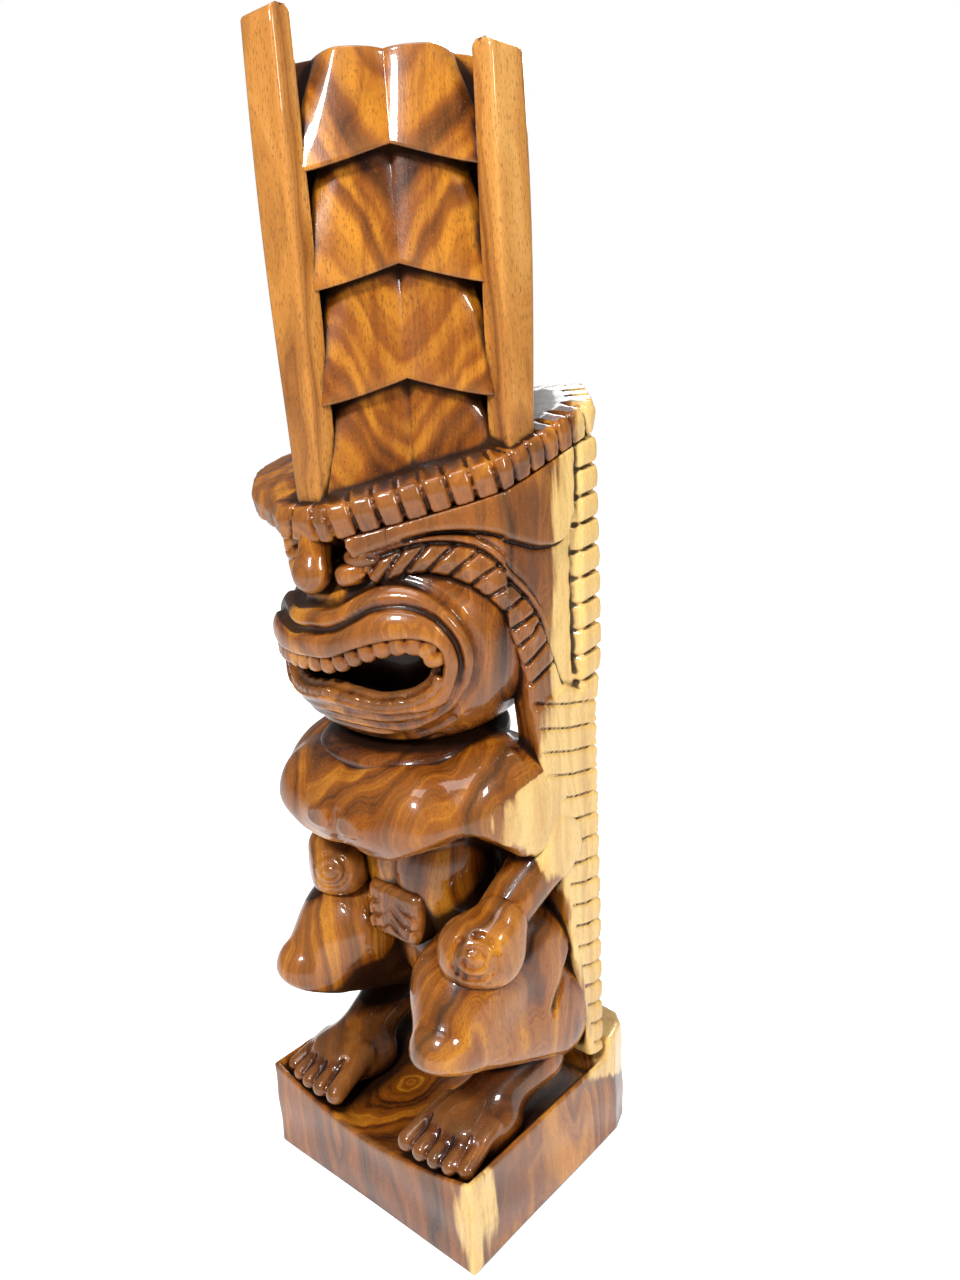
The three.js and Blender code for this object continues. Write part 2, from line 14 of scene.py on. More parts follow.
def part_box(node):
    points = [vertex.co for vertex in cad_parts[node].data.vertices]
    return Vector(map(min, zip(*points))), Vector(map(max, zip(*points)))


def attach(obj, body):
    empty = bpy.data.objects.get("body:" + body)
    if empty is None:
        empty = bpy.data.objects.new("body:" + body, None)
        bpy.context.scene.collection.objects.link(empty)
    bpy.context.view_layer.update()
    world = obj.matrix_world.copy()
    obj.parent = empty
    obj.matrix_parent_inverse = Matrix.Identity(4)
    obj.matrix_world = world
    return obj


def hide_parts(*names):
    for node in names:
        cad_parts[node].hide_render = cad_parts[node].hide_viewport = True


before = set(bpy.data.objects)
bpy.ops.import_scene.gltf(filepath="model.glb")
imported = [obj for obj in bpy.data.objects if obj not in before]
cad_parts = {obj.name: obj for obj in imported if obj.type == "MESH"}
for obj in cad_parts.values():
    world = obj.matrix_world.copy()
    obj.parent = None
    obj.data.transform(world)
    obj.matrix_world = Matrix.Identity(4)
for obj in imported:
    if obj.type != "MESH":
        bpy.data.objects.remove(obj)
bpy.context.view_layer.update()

MM = 0.001  # metres in a millimetre
FINE = 0.8  # lattice step of the head
COARSE = 1.0  # lattice step of the rest
HOOD_STEP = 0.85  # lattice step of the braids
FAR = 9.0  # distances are kept up to this


def corner(node, axis, side):
    """One face of a CAD node's box, in millimetres."""
    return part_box(node)[side][axis] / MM


HALF = corner("base_block", 0, 1)
TOP = corner("front_blade", 2, 1)
PLATE_FRONT = 333.0  # top of the brow plate at y = -66
PLATE_RISE = 0.313
PLATE_THICK = 17.0


def plate_top(y):
    return PLATE_FRONT + (y + 66.0) * PLATE_RISE


# ---- distance sculpting
# A ball is given by its centre and half sizes, a limb by its ends and their radii, a block by its centre,
# half sizes and rounding. The number that follows a shape in add, cut or keep is how softly it blends in.
def smooth_min(a, b, k):
    if k <= 0:
        return np.minimum(a, b)
    h = np.maximum(k - np.abs(a - b), 0) / k
    return np.minimum(a, b) - h * h * k / 4


def smooth_max(a, b, k):
    return -smooth_min(-a, -b, k)


def step01(low, high, v):
    """0 below low, 1 above high, smooth between."""
    t = np.clip((v - low) / (high - low), 0, 1)
    return t * t * (3 - 2 * t)


class Clay:
    """A block of clay: distance to the carved surface on a lattice, negative inside the wood.

    With half=True only x >= 0 is worked, and the other half mirrors it when the skin is made."""

    def __init__(self, low, high, step=COARSE, half=False):
        low = np.array(low, float)
        high = np.array(high, float)
        if half:
            low[0] = 0
        self.step, self.half = step, half
        self.low = np.floor(low / step) * step
        self.size = np.ceil((high - self.low) / step).astype(int) + 1
        self.d = np.full(self.size, FAR, np.float32)

    def part(self, low, high):
        """The lattice inside a box: the slices of d, and its x, y and z as open grids."""
        a = np.clip(np.floor((np.array(low) - self.low) / self.step).astype(int), 0, self.size)
        b = np.clip(np.ceil((np.array(high) - self.low) / self.step).astype(int) + 1, 0, self.size)
        at = tuple(slice(p, max(p, q)) for p, q in zip(a, b))
        grid = [
            (self.low[i] + self.step * np.arange(at[i].start, at[i].stop)).astype(np.float32)
            for i in range(3)
        ]
        return at, grid[0][:, None, None], grid[1][None, :, None], grid[2][None, None, :]

    def whole(self):
        return self.part(self.low, self.low + self.step * (self.size - 1))

    def full(self):
        """The distances with both halves, and the low corner of their lattice."""
        low = self.low.copy()
        if not self.half:
            return self.d, low
        low[0] = -self.step * (self.size[0] - 1)
        return np.concatenate([self.d[:0:-1], self.d]), low

    def fill(self, gap):
        """Sets the whole lattice to a distance."""
        self.d = np.clip(gap, -FAR, FAR).astype(np.float32)

    def about(self, shape, blend):
        """The lattice about a shape, and the distance to the shape there."""
        f, low, high = shape
        pad = blend + 4
        at, x, y, z = self.part(np.array(low) - pad, np.array(high) + pad)
        return at, f(x, y, z)

    def add(self, shape, blend=0.0):
        at, gap = self.about(shape, blend)
        self.d[at] = smooth_min(self.d[at], np.minimum(gap, FAR), blend)
        return self

    def cut(self, shape, blend=0.0):
        at, gap = self.about(shape, blend)
        self.d[at] = smooth_max(self.d[at], -gap, blend)
        return self

    def keep(self, f, blend=0.0):
        """Keeps only what lies inside f."""
        at, x, y, z = self.whole()
        self.d = smooth_max(self.d, f(x, y, z), blend).astype(np.float32)
        return self

    def within(self, reach, blend):
        """Keeps only what lies up to a distance from the middle plane."""
        return self.keep(below((reach, 0, 0), (1, 0, 0)), blend)

    def soften(self, rounds, where):
        """Rubs the surface smooth where the share given by a function of x, y and z is above zero."""
        soft = np.pad(self.d, rounds, mode="reflect")
        for k in range(rounds):
            for axis in range(3):
                soft = (np.roll(soft, 1, axis) + soft + np.roll(soft, -1, axis)) / 3
        inner = slice(rounds, -rounds)
        at, x, y, z = self.whole()
        share = where(x, y, z) + 0 * self.d
        self.d = (self.d + (soft[inner, inner, inner] - self.d) * share).astype(np.float32)
        return self

    def reach(self, start, toward, far=45.0):
        """The point of the surface met when going from inside the clay in a direction."""
        start, toward = np.array(start, float), np.array(toward, float)
        toward = toward / np.linalg.norm(toward)
        t = np.arange(0, far, self.step / 2)
        at = np.round((start + t[:, None] * toward - self.low) / self.step).astype(int)
        at = np.clip(at, 0, self.size - 1)
        outside = np.nonzero(self.d[at[:, 0], at[:, 1], at[:, 2]] > 0)[0]
        return start + (t[outside[0]] if len(outside) else far) * toward

    def groove(self, points, width, depth, power=1.5):
        """A groove along a line of points, width to each side. A negative depth raises a bead."""
        line = np.array(points, float)
        pad = width + 1
        at, x, y, z = self.part(line.min(0) - pad, line.max(0) + pad)
        block = self.d[at]
        near = np.abs(block) < abs(depth) + 3
        if not near.any():
            return self
        x, y, z = [np.broadcast_to(v, block.shape)[near] for v in (x, y, z)]
        gap = line_gap(x, y, z, line)
        block[near] += depth * np.clip(1 - gap / width, 0, 1) ** power
        self.d[at] = block
        return self


def line_gap(x, y, z, line):
    """Distance from points to a line of points."""
    p = np.stack([x, y, z], 1).astype(np.float32)
    best = np.full(len(p), 1e9, np.float32)
    for a, b in zip(line[:-1].astype(np.float32), line[1:].astype(np.float32)):
        ab = b - a
        t = np.clip((p - a) @ ab / max(float(ab @ ab), 1e-9), 0, 1)
        q = p - a - t[:, None] * ab
        best = np.minimum(best, np.einsum("ij,ij->i", q, q))
    return np.sqrt(best)


def turn(rx=0.0, ry=0.0, rz=0.0):
    """Rotation matrix from degrees about x, then y, then z."""
    m = Matrix.Rotation(math.radians(rz), 3, "Z") @ Matrix.Rotation(math.radians(ry), 3, "Y")
    return np.array(m @ Matrix.Rotation(math.radians(rx), 3, "X"), np.float32)


def local(x, y, z, centre, spin):
    """Coordinates in the axes of a turned shape."""
    px, py, pz = x - centre[0], y - centre[1], z - centre[2]
    m = spin.T
    return [m[i, 0] * px + m[i, 1] * py + m[i, 2] * pz for i in range(3)]


def ball(centre, radii, rx=0.0, ry=0.0, rz=0.0, power=2.0):
    """Ellipsoid with its half sizes, squarer for a higher power."""
    spin = turn(rx, ry, rz)
    r = np.array(radii, np.float32)

    def f(x, y, z):
        u, v, w = local(x, y, z, centre, spin)
        k = (np.abs(u / r[0]) ** power + np.abs(v / r[1]) ** power + np.abs(w / r[2]) ** power)
        k = k ** (1 / power)
        slope = np.sqrt((u / r[0] ** 2) ** 2 + (v / r[1] ** 2) ** 2 + (w / r[2] ** 2) ** 2)
        return k * (k - 1) / np.maximum(slope, 1e-5)

    reach = np.abs(spin) @ r
    return f, np.array(centre) - reach, np.array(centre) + reach


def limb(a, b, ra, rb):
    """Round limb from a to b with a radius at each end."""
    a, b = np.array(a, np.float32), np.array(b, np.float32)
    ab = b - a

    def f(x, y, z):
        t = ((x - a[0]) * ab[0] + (y - a[1]) * ab[1] + (z - a[2]) * ab[2]) / float(ab @ ab)
        t = np.clip(t, 0, 1)
        square = (x - a[0] - t * ab[0]) ** 2 + (y - a[1] - t * ab[1]) ** 2 + (z - a[2] - t * ab[2]) ** 2
        return np.sqrt(square) - (ra + (rb - ra) * t)

    return f, np.minimum(a - ra, b - rb), np.maximum(a + ra, b + rb)


def block(centre, half, edge=1.0, rx=0.0, ry=0.0, rz=0.0):
    """Box with rounded edges."""
    spin = turn(rx, ry, rz)
    h = np.array(half, np.float32) - edge

    def f(x, y, z):
        q = [np.abs(v) - h[i] for i, v in enumerate(local(x, y, z, centre, spin))]
        out = np.sqrt(sum(np.maximum(v, 0) ** 2 for v in q))
        return out + np.minimum(np.maximum(np.maximum(q[0], q[1]), q[2]), 0) - edge

    reach = np.abs(spin) @ np.array(half, np.float32)
    return f, np.array(centre) - reach, np.array(centre) + reach


def below(point, normal):
    """The side of a plane away from its normal, as a distance."""
    n = np.array(normal, np.float32)
    n /= np.linalg.norm(n)
    return lambda x, y, z: (x - point[0]) * n[0] + (y - point[1]) * n[1] + (z - point[2]) * n[2]


def polygon_gap(u, v, corners):
    """Signed distance in a plane to a closed outline, negative inside."""
    best = np.full(np.broadcast(u, v).shape, 1e9, np.float32)
    inside = np.zeros(best.shape, bool)
    pts = np.array(corners, np.float32)
    for a, b in zip(pts, np.roll(pts, -1, 0)):
        ab = b - a
        t = np.clip(((u - a[0]) * ab[0] + (v - a[1]) * ab[1]) / max(float(ab @ ab), 1e-9), 0, 1)
        best = np.minimum(best, (u - a[0] - t * ab[0]) ** 2 + (v - a[1] - t * ab[1]) ** 2)
        crosses = (a[1] > v) != (b[1] > v)
        edge = a[0] + (v - a[1]) * ab[0] / (ab[1] if abs(ab[1]) > 1e-9 else 1e-9)
        inside ^= crosses & (u < edge)
    return np.where(inside, -1, 1) * np.sqrt(best)


def curve(points, closed=False, pieces=8):
    """A smooth line through the points."""
    p = np.array(points, float)
    n = len(p)
    out = []
    for i in range(n if closed else n - 1):
        q = [p[(i + k) % n] if closed else p[min(max(i + k, 0), n - 1)] for k in (-1, 0, 1, 2)]
        for s in range(pieces):
            t = s / pieces
            bend = (2 * q[0] - 5 * q[1] + 4 * q[2] - q[3]) * t * t
            twist = (3 * q[1] - q[0] - 3 * q[2] + q[3]) * t ** 3
            out.append(0.5 * (2 * q[1] + (q[2] - q[0]) * t + bend + twist))
    if not closed:
        out.append(p[-1])
    return np.array(out)


# ---- from clay to meshes
pieces = []  # (object, clay, mirrored) of every piece made from clay, for the shade in the hollows
solids = []  # objects made from rings of points


def read_points(mesh, field="co"):
    """The places or the normals of a mesh's points, one row each."""
    flat = np.empty(len(mesh.vertices) * 3, np.float32)
    mesh.vertices.foreach_get(field, flat)
    return flat.reshape(-1, 3)


def write_points(mesh, points):
    """Puts a mesh's points at places in millimetres."""
    mesh.vertices.foreach_set("co", (np.asarray(points) * MM).astype(np.float32).ravel())


def mesh_from(name, points, faces):
    """Mesh object from points in millimetres and faces."""
    mesh = bpy.data.meshes.new(name)
    sizes = np.array([len(f) for f in faces])
    flat = np.concatenate(faces)
    mesh.vertices.add(len(points))
    write_points(mesh, points)
    mesh.loops.add(len(flat))
    mesh.loops.foreach_set("vertex_index", flat.astype(np.int32))
    mesh.polygons.add(len(sizes))
    mesh.polygons.foreach_set("loop_start", (np.cumsum(sizes) - sizes).astype(np.int32))
    mesh.update(calc_edges=True)
    mesh.validate()
    mesh.shade_smooth()
    ob = bpy.data.objects.new(name, mesh)
    bpy.context.scene.collection.objects.link(ob)
    return ob


def neighbour_sum(pairs, values):
    """For each point, the sum of a value over the points joined to it."""
    total = np.bincount(pairs[:, 0], values[pairs[:, 1]], len(values))
    return total + np.bincount(pairs[:, 1], values[pairs[:, 0]], len(values))


def relax(points, quads, rounds):
    """Evens out the stair steps of the lattice without shrinking the form."""
    pairs = np.concatenate([quads[:, [i, (i + 1) % 4]] for i in range(4)])
    count = np.bincount(pairs[:, 0], minlength=len(points)).astype(float)
    count += np.bincount(pairs[:, 1], minlength=len(points))
    for k in range(rounds):
        for pull in (0.5, -0.45):
            mean = np.stack([neighbour_sum(pairs, points[:, i]) / count for i in range(3)], 1)
            points = points + pull * (mean - points)
    return points


def thin(ob, share):
    """Fewer faces where the surface is plain."""
    if share >= 1:
        return
    fewer = ob.modifiers.new("thin", "DECIMATE")
    fewer.ratio = share
    mesh = bpy.data.meshes.new_from_object(ob.evaluated_get(bpy.context.evaluated_depsgraph_get()))
    ob.modifiers.clear()
    ob.data = mesh
    mesh.shade_smooth()


def dress(ob, nodes, slot):
    """Hides the CAD nodes a piece stands for, ties the piece to its body and gives it its finish."""
    ob.data.name = ob.name
    ob.data.materials.clear()
    ob.data.materials.append(woods[slot])
    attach(ob, "root")
    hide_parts(*nodes)
    return ob


def skin(name, clay, nodes, slot, pair=False, rounds=1, share=0.5, shift=(0, 0, 0),
         size=1.0, spin=0.0):
    """Makes the mesh of a clay, or the left and right meshes of a pair.

    The right one of a pair is scaled and spun about its own middle, then moved by shift."""
    d, low = clay.full()
    d = np.pad(d, 1, constant_values=FAR)
    low = low - clay.step
    grid = vdb.FloatGrid(FAR)
    grid.copyFromArray(np.ascontiguousarray(d, np.float32))
    points, quads = grid.convertToQuads(0.0)
    points = np.asarray(points, float)
    quads = np.asarray(quads, np.int64)
    points = relax(points, quads, rounds) * clay.step + low
    a, b, c, e = (points[quads[:, i]] for i in range(4))
    volume = np.einsum("ij,ij->i", a, np.cross(b, c) + np.cross(c, e)).sum()
    if volume < 0:
        quads = quads[:, ::-1]
    made = []
    for side in ("left", "right") if pair else ("",):
        mirror = side == "right"
        p = points
        if mirror:
            p = points * [-1, 1, 1]
            centre = (p.min(0) + p.max(0)) / 2
            p = centre + (p - centre) @ turn(rz=spin).T * size + shift
        q = quads[:, ::-1] if mirror else quads
        ob = mesh_from(f"{side}_{name}" if side else name, p, q)
        thin(ob, share)
        own = [f"{side}_{n}" for n in nodes] if side else nodes
        dress(ob, own, slot)
        pieces.append((ob, clay, mirror))
        made.append(ob)
    return made


# ---- plan of the head block
PLAN = [
    (0, -66.5), (14, -66.5), (37, -47), (58, -26), (65.5, -16),
    (67, -2), (67, 44), (46, 66.5), (0, 66.5),
]
SIDE_S = sum(math.dist(a, b) for a, b in zip(PLAN[:5], PLAN[1:6]))  # where the flat side begins


def plan_maps(x, y):
    """Signed distance to the plan outline and length along it, at each x and y. Both halves are alike."""
    pts = np.array(PLAN, np.float32)
    u, v = np.abs(x[:, :, 0]), y[:, :, 0]
    u, v = np.broadcast_arrays(u, v)
    best = np.full(u.shape, 1e9, np.float32)
    along = np.zeros(u.shape, np.float32)
    start = 0.0
    for a, b in zip(pts[:-1], pts[1:]):
        ab = b - a
        length = float(np.hypot(*ab))
        t = np.clip(((u - a[0]) * ab[0] + (v - a[1]) * ab[1]) / length ** 2, 0, 1)
        gap = np.hypot(u - a[0] - t * ab[0], v - a[1] - t * ab[1])
        closer = gap < best
        best = np.where(closer, gap, best)
        along = np.where(closer, start + t * length, along)
        start += length
    around = PLAN + [(-p, q) for p, q in PLAN[::-1][1:-1]]
    sign = np.sign(polygon_gap(u, v, around))
    return (best * sign)[:, :, None], along[:, :, None]


def side_s(y):
    """Length along the plan of a point of the flat side."""
    return SIDE_S + y + 2.0


# ---- brow plate and its notched rim
RIM_PITCH = 9.5
FAR_CHEEK_SWELL = 13.0


def plate_clay():
    clay = Clay((0, -68, 300), (68, 68, 378), half=True)
    at, x, y, z = clay.whole()
    gap, along = plan_maps(x, y)
    w = z - plate_top(y)
    underside = -PLATE_THICK - w + np.maximum(0, -gap - 8) * 0.3
    body = smooth_max(smooth_max(gap, w, 1.6), underside, 1.6)
    lean = along + 0.26 * w
    notch = np.abs((lean / RIM_PITCH) % 1 - 0.5) * RIM_PITCH
    fade = np.clip(1 + gap / 12.5, 0, 1) ** 0.6 * step01(-PLATE_THICK - 1.5, -PLATE_THICK + 0.5, w)
    crown = np.clip(notch / (RIM_PITCH / 2), 0, 1)
    ridge = w + 0.40 * PLATE_THICK
    facet = np.where(ridge > 0, 0.30, -0.22) * ridge * np.clip(1 + gap / 10, 0, 1)
    round_lobe = 0.2 * (1 - crown) ** 2 * np.clip(1 + gap / 6, 0, 1)
    body = body + facet + 3.2 * np.clip(1 - notch / 1.25, 0, 1) * fade + round_lobe
    top_slope = np.clip(1 + gap / 11, 0, 1)
    clay.fill(np.maximum(body, w + 2.2 * top_slope))
    return clay


def swell_far_cheek(obs):
    """The rim stands out further over the figure's right cheek."""
    toward = np.array([-0.74, -0.67])
    for ob in obs:
        p = read_points(ob.data) / MM
        bearing = np.degrees(np.arctan2(-p[:, 0], -p[:, 1]))
        share = step01(8, 48, bearing) * step01(96, 56, bearing)
        share = share * step01(30, 58, np.hypot(p[:, 0], p[:, 1]))
        p[:, :2] += FAR_CHEEK_SWELL * share[:, None] * toward
        write_points(ob.data, p)
        ob.data.update()


# ---- the hood: braids, panels and side strips
BRAID_LOW = [(22, 296.5), (42, 303), (58, 302.5), (73, 295), (84, 284), (92, 268), (97, 253), (98, 240)]
BRAID_TOP = [(24, 307), (44, 313.5), (60, 314.5), (76, 310), (89, 297), (103, 283), (112, 266), (120, 246)]
TAB_LOW = [
    (18, 309), (45, 317.5), (62, 320), (78, 318.5), (91, 314),
    (108, 309), (122, 309), (128, 314), (131, 326), (132, 352),
]
STRIP_FRONT = [(98, 240), (99.5, 227), (112, 165), (118.5, 116), (128, 59), (129, 53)]
STRIP_BACK = [
    (138, 53), (139, 80), (140.5, 140), (141, 190), (142, 235), (146, 255), (149, 300), (150, 360),
]
STRIP_TOP, STRIP_END, STRIP_PITCH = 238, 58, 11.2  # heights of the first and last cuts across the strip
BRAID_LOBES = 13
BACK_LOBES, BACK_TOP, BACK_PITCH = 10, 350, 11.6
HOOD_THICK = 15.0
UNDER_RIM = 15.5  # the hood ends this far below the top of the brow plate
RELIEF_LOW, RELIEF_TOP, RELIEF_LONG = 44, 366, 160


class Relief:
    """How far the hood's surface lies in from the plan, over length along the plan and height."""

    def __init__(self):
        self.step = 0.5
        self.s = np.arange(0, RELIEF_LONG, self.step, dtype=np.float32)[:, None]
        self.z = np.arange(RELIEF_LOW, RELIEF_TOP, self.step, dtype=np.float32)[None, :]
        self.h = np.zeros((self.s.size, self.z.size), np.float32)

    def region(self, corners):
        return polygon_gap(self.s, self.z, corners)

    def scratch(self, line, width, depth, power=1.0):
        """A groove along a line. A negative depth raises a bead."""
        line = np.array(line, float)
        start = np.array([0, RELIEF_LOW])
        a = (np.clip((line.min(0) - width - 1 - start) / self.step, 0, None)).astype(int)
        b = ((line.max(0) + width + 1 - start) / self.step).astype(int) + 1
        cut = (slice(a[0], b[0]), slice(a[1], b[1]))
        s, z = np.broadcast_arrays(self.s[cut[0]], self.z[:, cut[1]])
        if not s.size:
            return
        flat_line = np.c_[line, np.zeros(len(line))]
        gap = line_gap(s.ravel(), z.ravel(), 0 * s.ravel(), flat_line).reshape(s.shape)
        self.h[cut] += depth * np.clip(1 - gap / width, 0, 1) ** power

    def at(self, s, z):
        i = np.clip((s / self.step).astype(int), 0, self.s.size - 2)
        rise = (z - RELIEF_LOW) / self.step
        j = np.clip(rise.astype(int), 0, self.z.size - 2)
        u = np.clip(s / self.step - i, 0, 1)
        v = np.clip(rise - j, 0, 1)
        i, j = np.broadcast_arrays(i, j)
        h = self.h
        lower = h[i, j] * (1 - u) + h[i + 1, j] * u
        upper = h[i, j + 1] * (1 - u) + h[i + 1, j + 1] * u
        return lower * (1 - v) + upper * v


def along_line(points, count):
    """count points spread evenly along a line."""
    p = np.array(points, float)
    run = np.r_[0, np.cumsum(np.hypot(*np.diff(p, axis=0).T))]
    t = np.linspace(0, run[-1], count)
    return np.c_[np.interp(t, run, p[:, 0]), np.interp(t, run, p[:, 1])]


def hood_relief():
    r = Relief()
    low, top, tab = curve(BRAID_LOW), curve(BRAID_TOP), curve(TAB_LOW)
    upper = list(map(tuple, tab)) + [(132, 400), (10, 400)]
    braid = list(map(tuple, low)) + list(map(tuple, top[::-1]))
    above = r.region(upper)
    r.h += 1.2 + 3.4 * step01(-0.4, 1.0, above) * step01(side_s(30), side_s(27), r.s)
    on_braid = step01(1.4, -1.4, r.region(braid))
    strip = [tuple(p) for p in STRIP_FRONT] + [tuple(p) for p in STRIP_BACK[:5]] + [tuple(top[-1])]
    on_strip = step01(1.5, -1.5, r.region(strip))
    r.h = r.h * (1 - on_braid) + 3.0 * on_braid
    r.h = r.h * (1 - on_strip) + 1.8 * on_strip
    # the border bead above the braid, with a line to each side of it
    bead = [p + (1.2, 2.6) for p in top[:-10]]
    r.scratch(bead, 2.0, -1.6, 0.7)
    r.scratch([p + (2.2, 4.6) for p in top[:-14]], 1.1, 1.0)
    r.scratch([p + (0.2, 0.4) for p in top], 1.2, 1.6)
    r.scratch([p + (0, -0.6) for p in tab[8:-12]], 1.5, 1.8)
    # notches of the braid
    lows, tops = along_line(low, BRAID_LOBES * 4), along_line(top, BRAID_LOBES * 4)
    for k in range(1, BRAID_LOBES):
        a, b = lows[4 * k - 2], tops[4 * k - 2]
        lean = tops[min(4 * k + 1, 4 * BRAID_LOBES - 1)]
        bend = (a + b) / 2 + (b - lean) * (-0.25 if k < 10 else 0.0)
        r.scratch([a, bend, (b + 2 * lean) / 3 if k < 10 else b], 1.3, 2.4)
    # each lobe of the braid has a lower and an upper facet
    middle = (lows + tops) / 2
    r.scratch(middle[: BRAID_LOBES * 3], 5.5, -1.3, 1.0)
    # cuts across the strip
    front, back = np.array(STRIP_FRONT), np.array(STRIP_BACK)
    for z in np.arange(STRIP_TOP, STRIP_END, -STRIP_PITCH):
        s0 = np.interp(-z, -front[:, 1], front[:, 0]) + (1 if z > 150 else 4)
        s1 = np.interp(z, back[:, 1], back[:, 0])
        fall = 0.12 * (s1 - s0)
        r.scratch([(s0, z + fall), ((s0 + s1) / 2, z - 0.9), (s1 + 3, z - fall)], 0.9, 1.8)
        r.scratch([(s1 - 2, z - STRIP_PITCH / 2), (s1 + 3, z - STRIP_PITCH / 2)], 5.5, -0.9, 0.6)
    # back braid: round lobes with a rough groove at their front
    groove = [(side_s(28), 250), (side_s(29), 290), (side_s(31), 352)]
    r.scratch(groove, 2.6, 2.8, 0.8)
    for k in range(BACK_LOBES):
        z = BACK_TOP - k * BACK_PITCH
        s0 = np.interp(z, [250, 352], [side_s(28), side_s(31)])
        r.scratch([(s0, z - 1.5), (s0 + 22, z + 2)], 1.3, 2.2)
        r.scratch([(s0 + 2, z - 6.6), (s0 + 22, z - 4)], 5.8, -1.0, 0.45)
    return r


def hood_clay():
    clay = Clay((30, -66, 44), (69, 60, 372), step=HOOD_STEP)
    at, x, y, z = clay.whole()
    gap, along = plan_maps(x, y)
    relief = hood_relief()
    depth = relief.at(along, z)
    front = [tuple(p) for p in curve(BRAID_LOW)] + [tuple(p) for p in STRIP_FRONT[1:]]
    region = front + STRIP_BACK + [(10, 380), (10, 296)]
    edge = polygon_gap(np.broadcast_to(along, clay.d.shape), np.broadcast_to(z, clay.d.shape), region)
    body = smooth_max(gap + depth, -gap - HOOD_THICK, 1.5)
    body = smooth_max(body, edge, 1.2)
    clay.fill(smooth_max(body, z - plate_top(y) + UNDER_RIM, 0))
    clay.keep(lambda x, y, z: 31 - x, 0)
    return clay


def hood_core_clay():
    """The solid wood under the brow, across the middle and the back of the head."""
    clay = Clay((0, -66, 280), (68, 62, 362), half=True)
    at, x, y, z = clay.whole()
    gap, along = plan_maps(x, y)
    relief = hood_relief()
    low = np.interp(along[:, :, 0], [0, 20, 32, 60, 160], [324, 318, 300, 290, 286])[:, :, None]
    under_hood = 1.6 * step01(31, 33, x)
    set_in = np.where(along < 22, 7.0, relief.at(along, z))
    body = smooth_max(gap + set_in + under_hood, low - z, 2.0)
    clay.fill(smooth_max(body, z - plate_top(y) + UNDER_RIM, 0))
    return clay


# ---- head, lips and teeth
HEAD_MID = (0.0, -10.0, 272.0)
HEAD_W, HEAD_D, HEAD_UP, HEAD_DOWN = 61.0, 55.0, 44.0, 50.0
HEAD_SQUARE = 2.3


def head_radius(bearing, z):
    """Reach of the head from its axis, at a bearing from straight ahead and a height."""
    rise = (np.maximum(z - HEAD_MID[2], 0) / HEAD_UP) ** 2.3
    rise = rise + (np.maximum(HEAD_MID[2] - z, 0) / HEAD_DOWN) ** 2.2
    a = np.radians(bearing)
    flat = (np.abs(np.sin(a)) / HEAD_W) ** HEAD_SQUARE + (np.abs(np.cos(a)) / HEAD_D) ** HEAD_SQUARE
    return (np.clip(1 - rise, 0.02, 1) / flat) ** (1 / HEAD_SQUARE)


def on_head(points, out=0.0):
    """Points on the head from (bearing, height) pairs."""
    b, z = np.array(points, float).T
    r = head_radius(b, z) + out
    a = np.radians(b)
    return np.c_[r * np.sin(a), HEAD_MID[1] - r * np.cos(a), z]


# lines on the head, as bearings in degrees and heights in millimetres
LIP_OUTER = [(-12, 293), (0, 292), (12, 293.5), (21, 297.5), (31, 301), (42, 301.5), (52, 299),
             (60, 293.5), (66, 285), (69.5, 278), (71, 270), (69.5, 260), (66, 253.5), (61.5, 246),
             (53, 240), (44, 235.5), (29, 232.5), (12, 232), (-6, 232.5)]
LIP_INNER = [(-12, 282.5), (0, 281.5), (12, 283), (23, 288), (31, 291.5), (42, 292.5), (50, 290.5),
             (56, 286.5), (60.5, 280), (63, 273), (63.5, 264), (61.5, 255), (57, 249), (49, 244),
             (35, 241), (17, 241), (-6, 242)]
POUT = [(-16, 277), (0, 276), (12, 277.5), (24, 282.5), (36, 286), (48, 285), (57, 279), (60, 270)]
CHEEK = [(-16, 288), (0, 287), (12, 288.5), (24, 293.5), (36, 297), (50, 295), (63, 284), (66.5, 270),
         (63, 256), (50, 247)]
MOUTH_TOP = [(-12, 270.2), (0, 270), (10, 271.5), (21, 275.5), (31, 278.5), (40, 280), (47, 280), (53, 278),
             (56.5, 274), (57.5, 268)]
MOUTH_LOW = [(57, 263), (55, 257.5), (51, 254), (46, 251.5), (38, 250), (30, 249), (20, 250), (7, 251.5),
             (-2, 252.5), (-12, 252.5)]
JAW_LINES = [
    [(56, 250), (48, 247.5), (36, 245.5), (24, 245.5), (10, 246.5), (-6, 247)],
    [(62, 243), (54, 238.5), (44, 235.5), (30, 236.5), (14, 237), (-6, 237.5)],
    [(56, 234), (46, 229.5), (30, 227), (12, 227), (-6, 227)],
]
MOUTH_DEEP = 24.0
MOUTH_SCALE = 0.98  # millimetres along the face for each degree of bearing
FAR_SIDE_DROP = 8.0


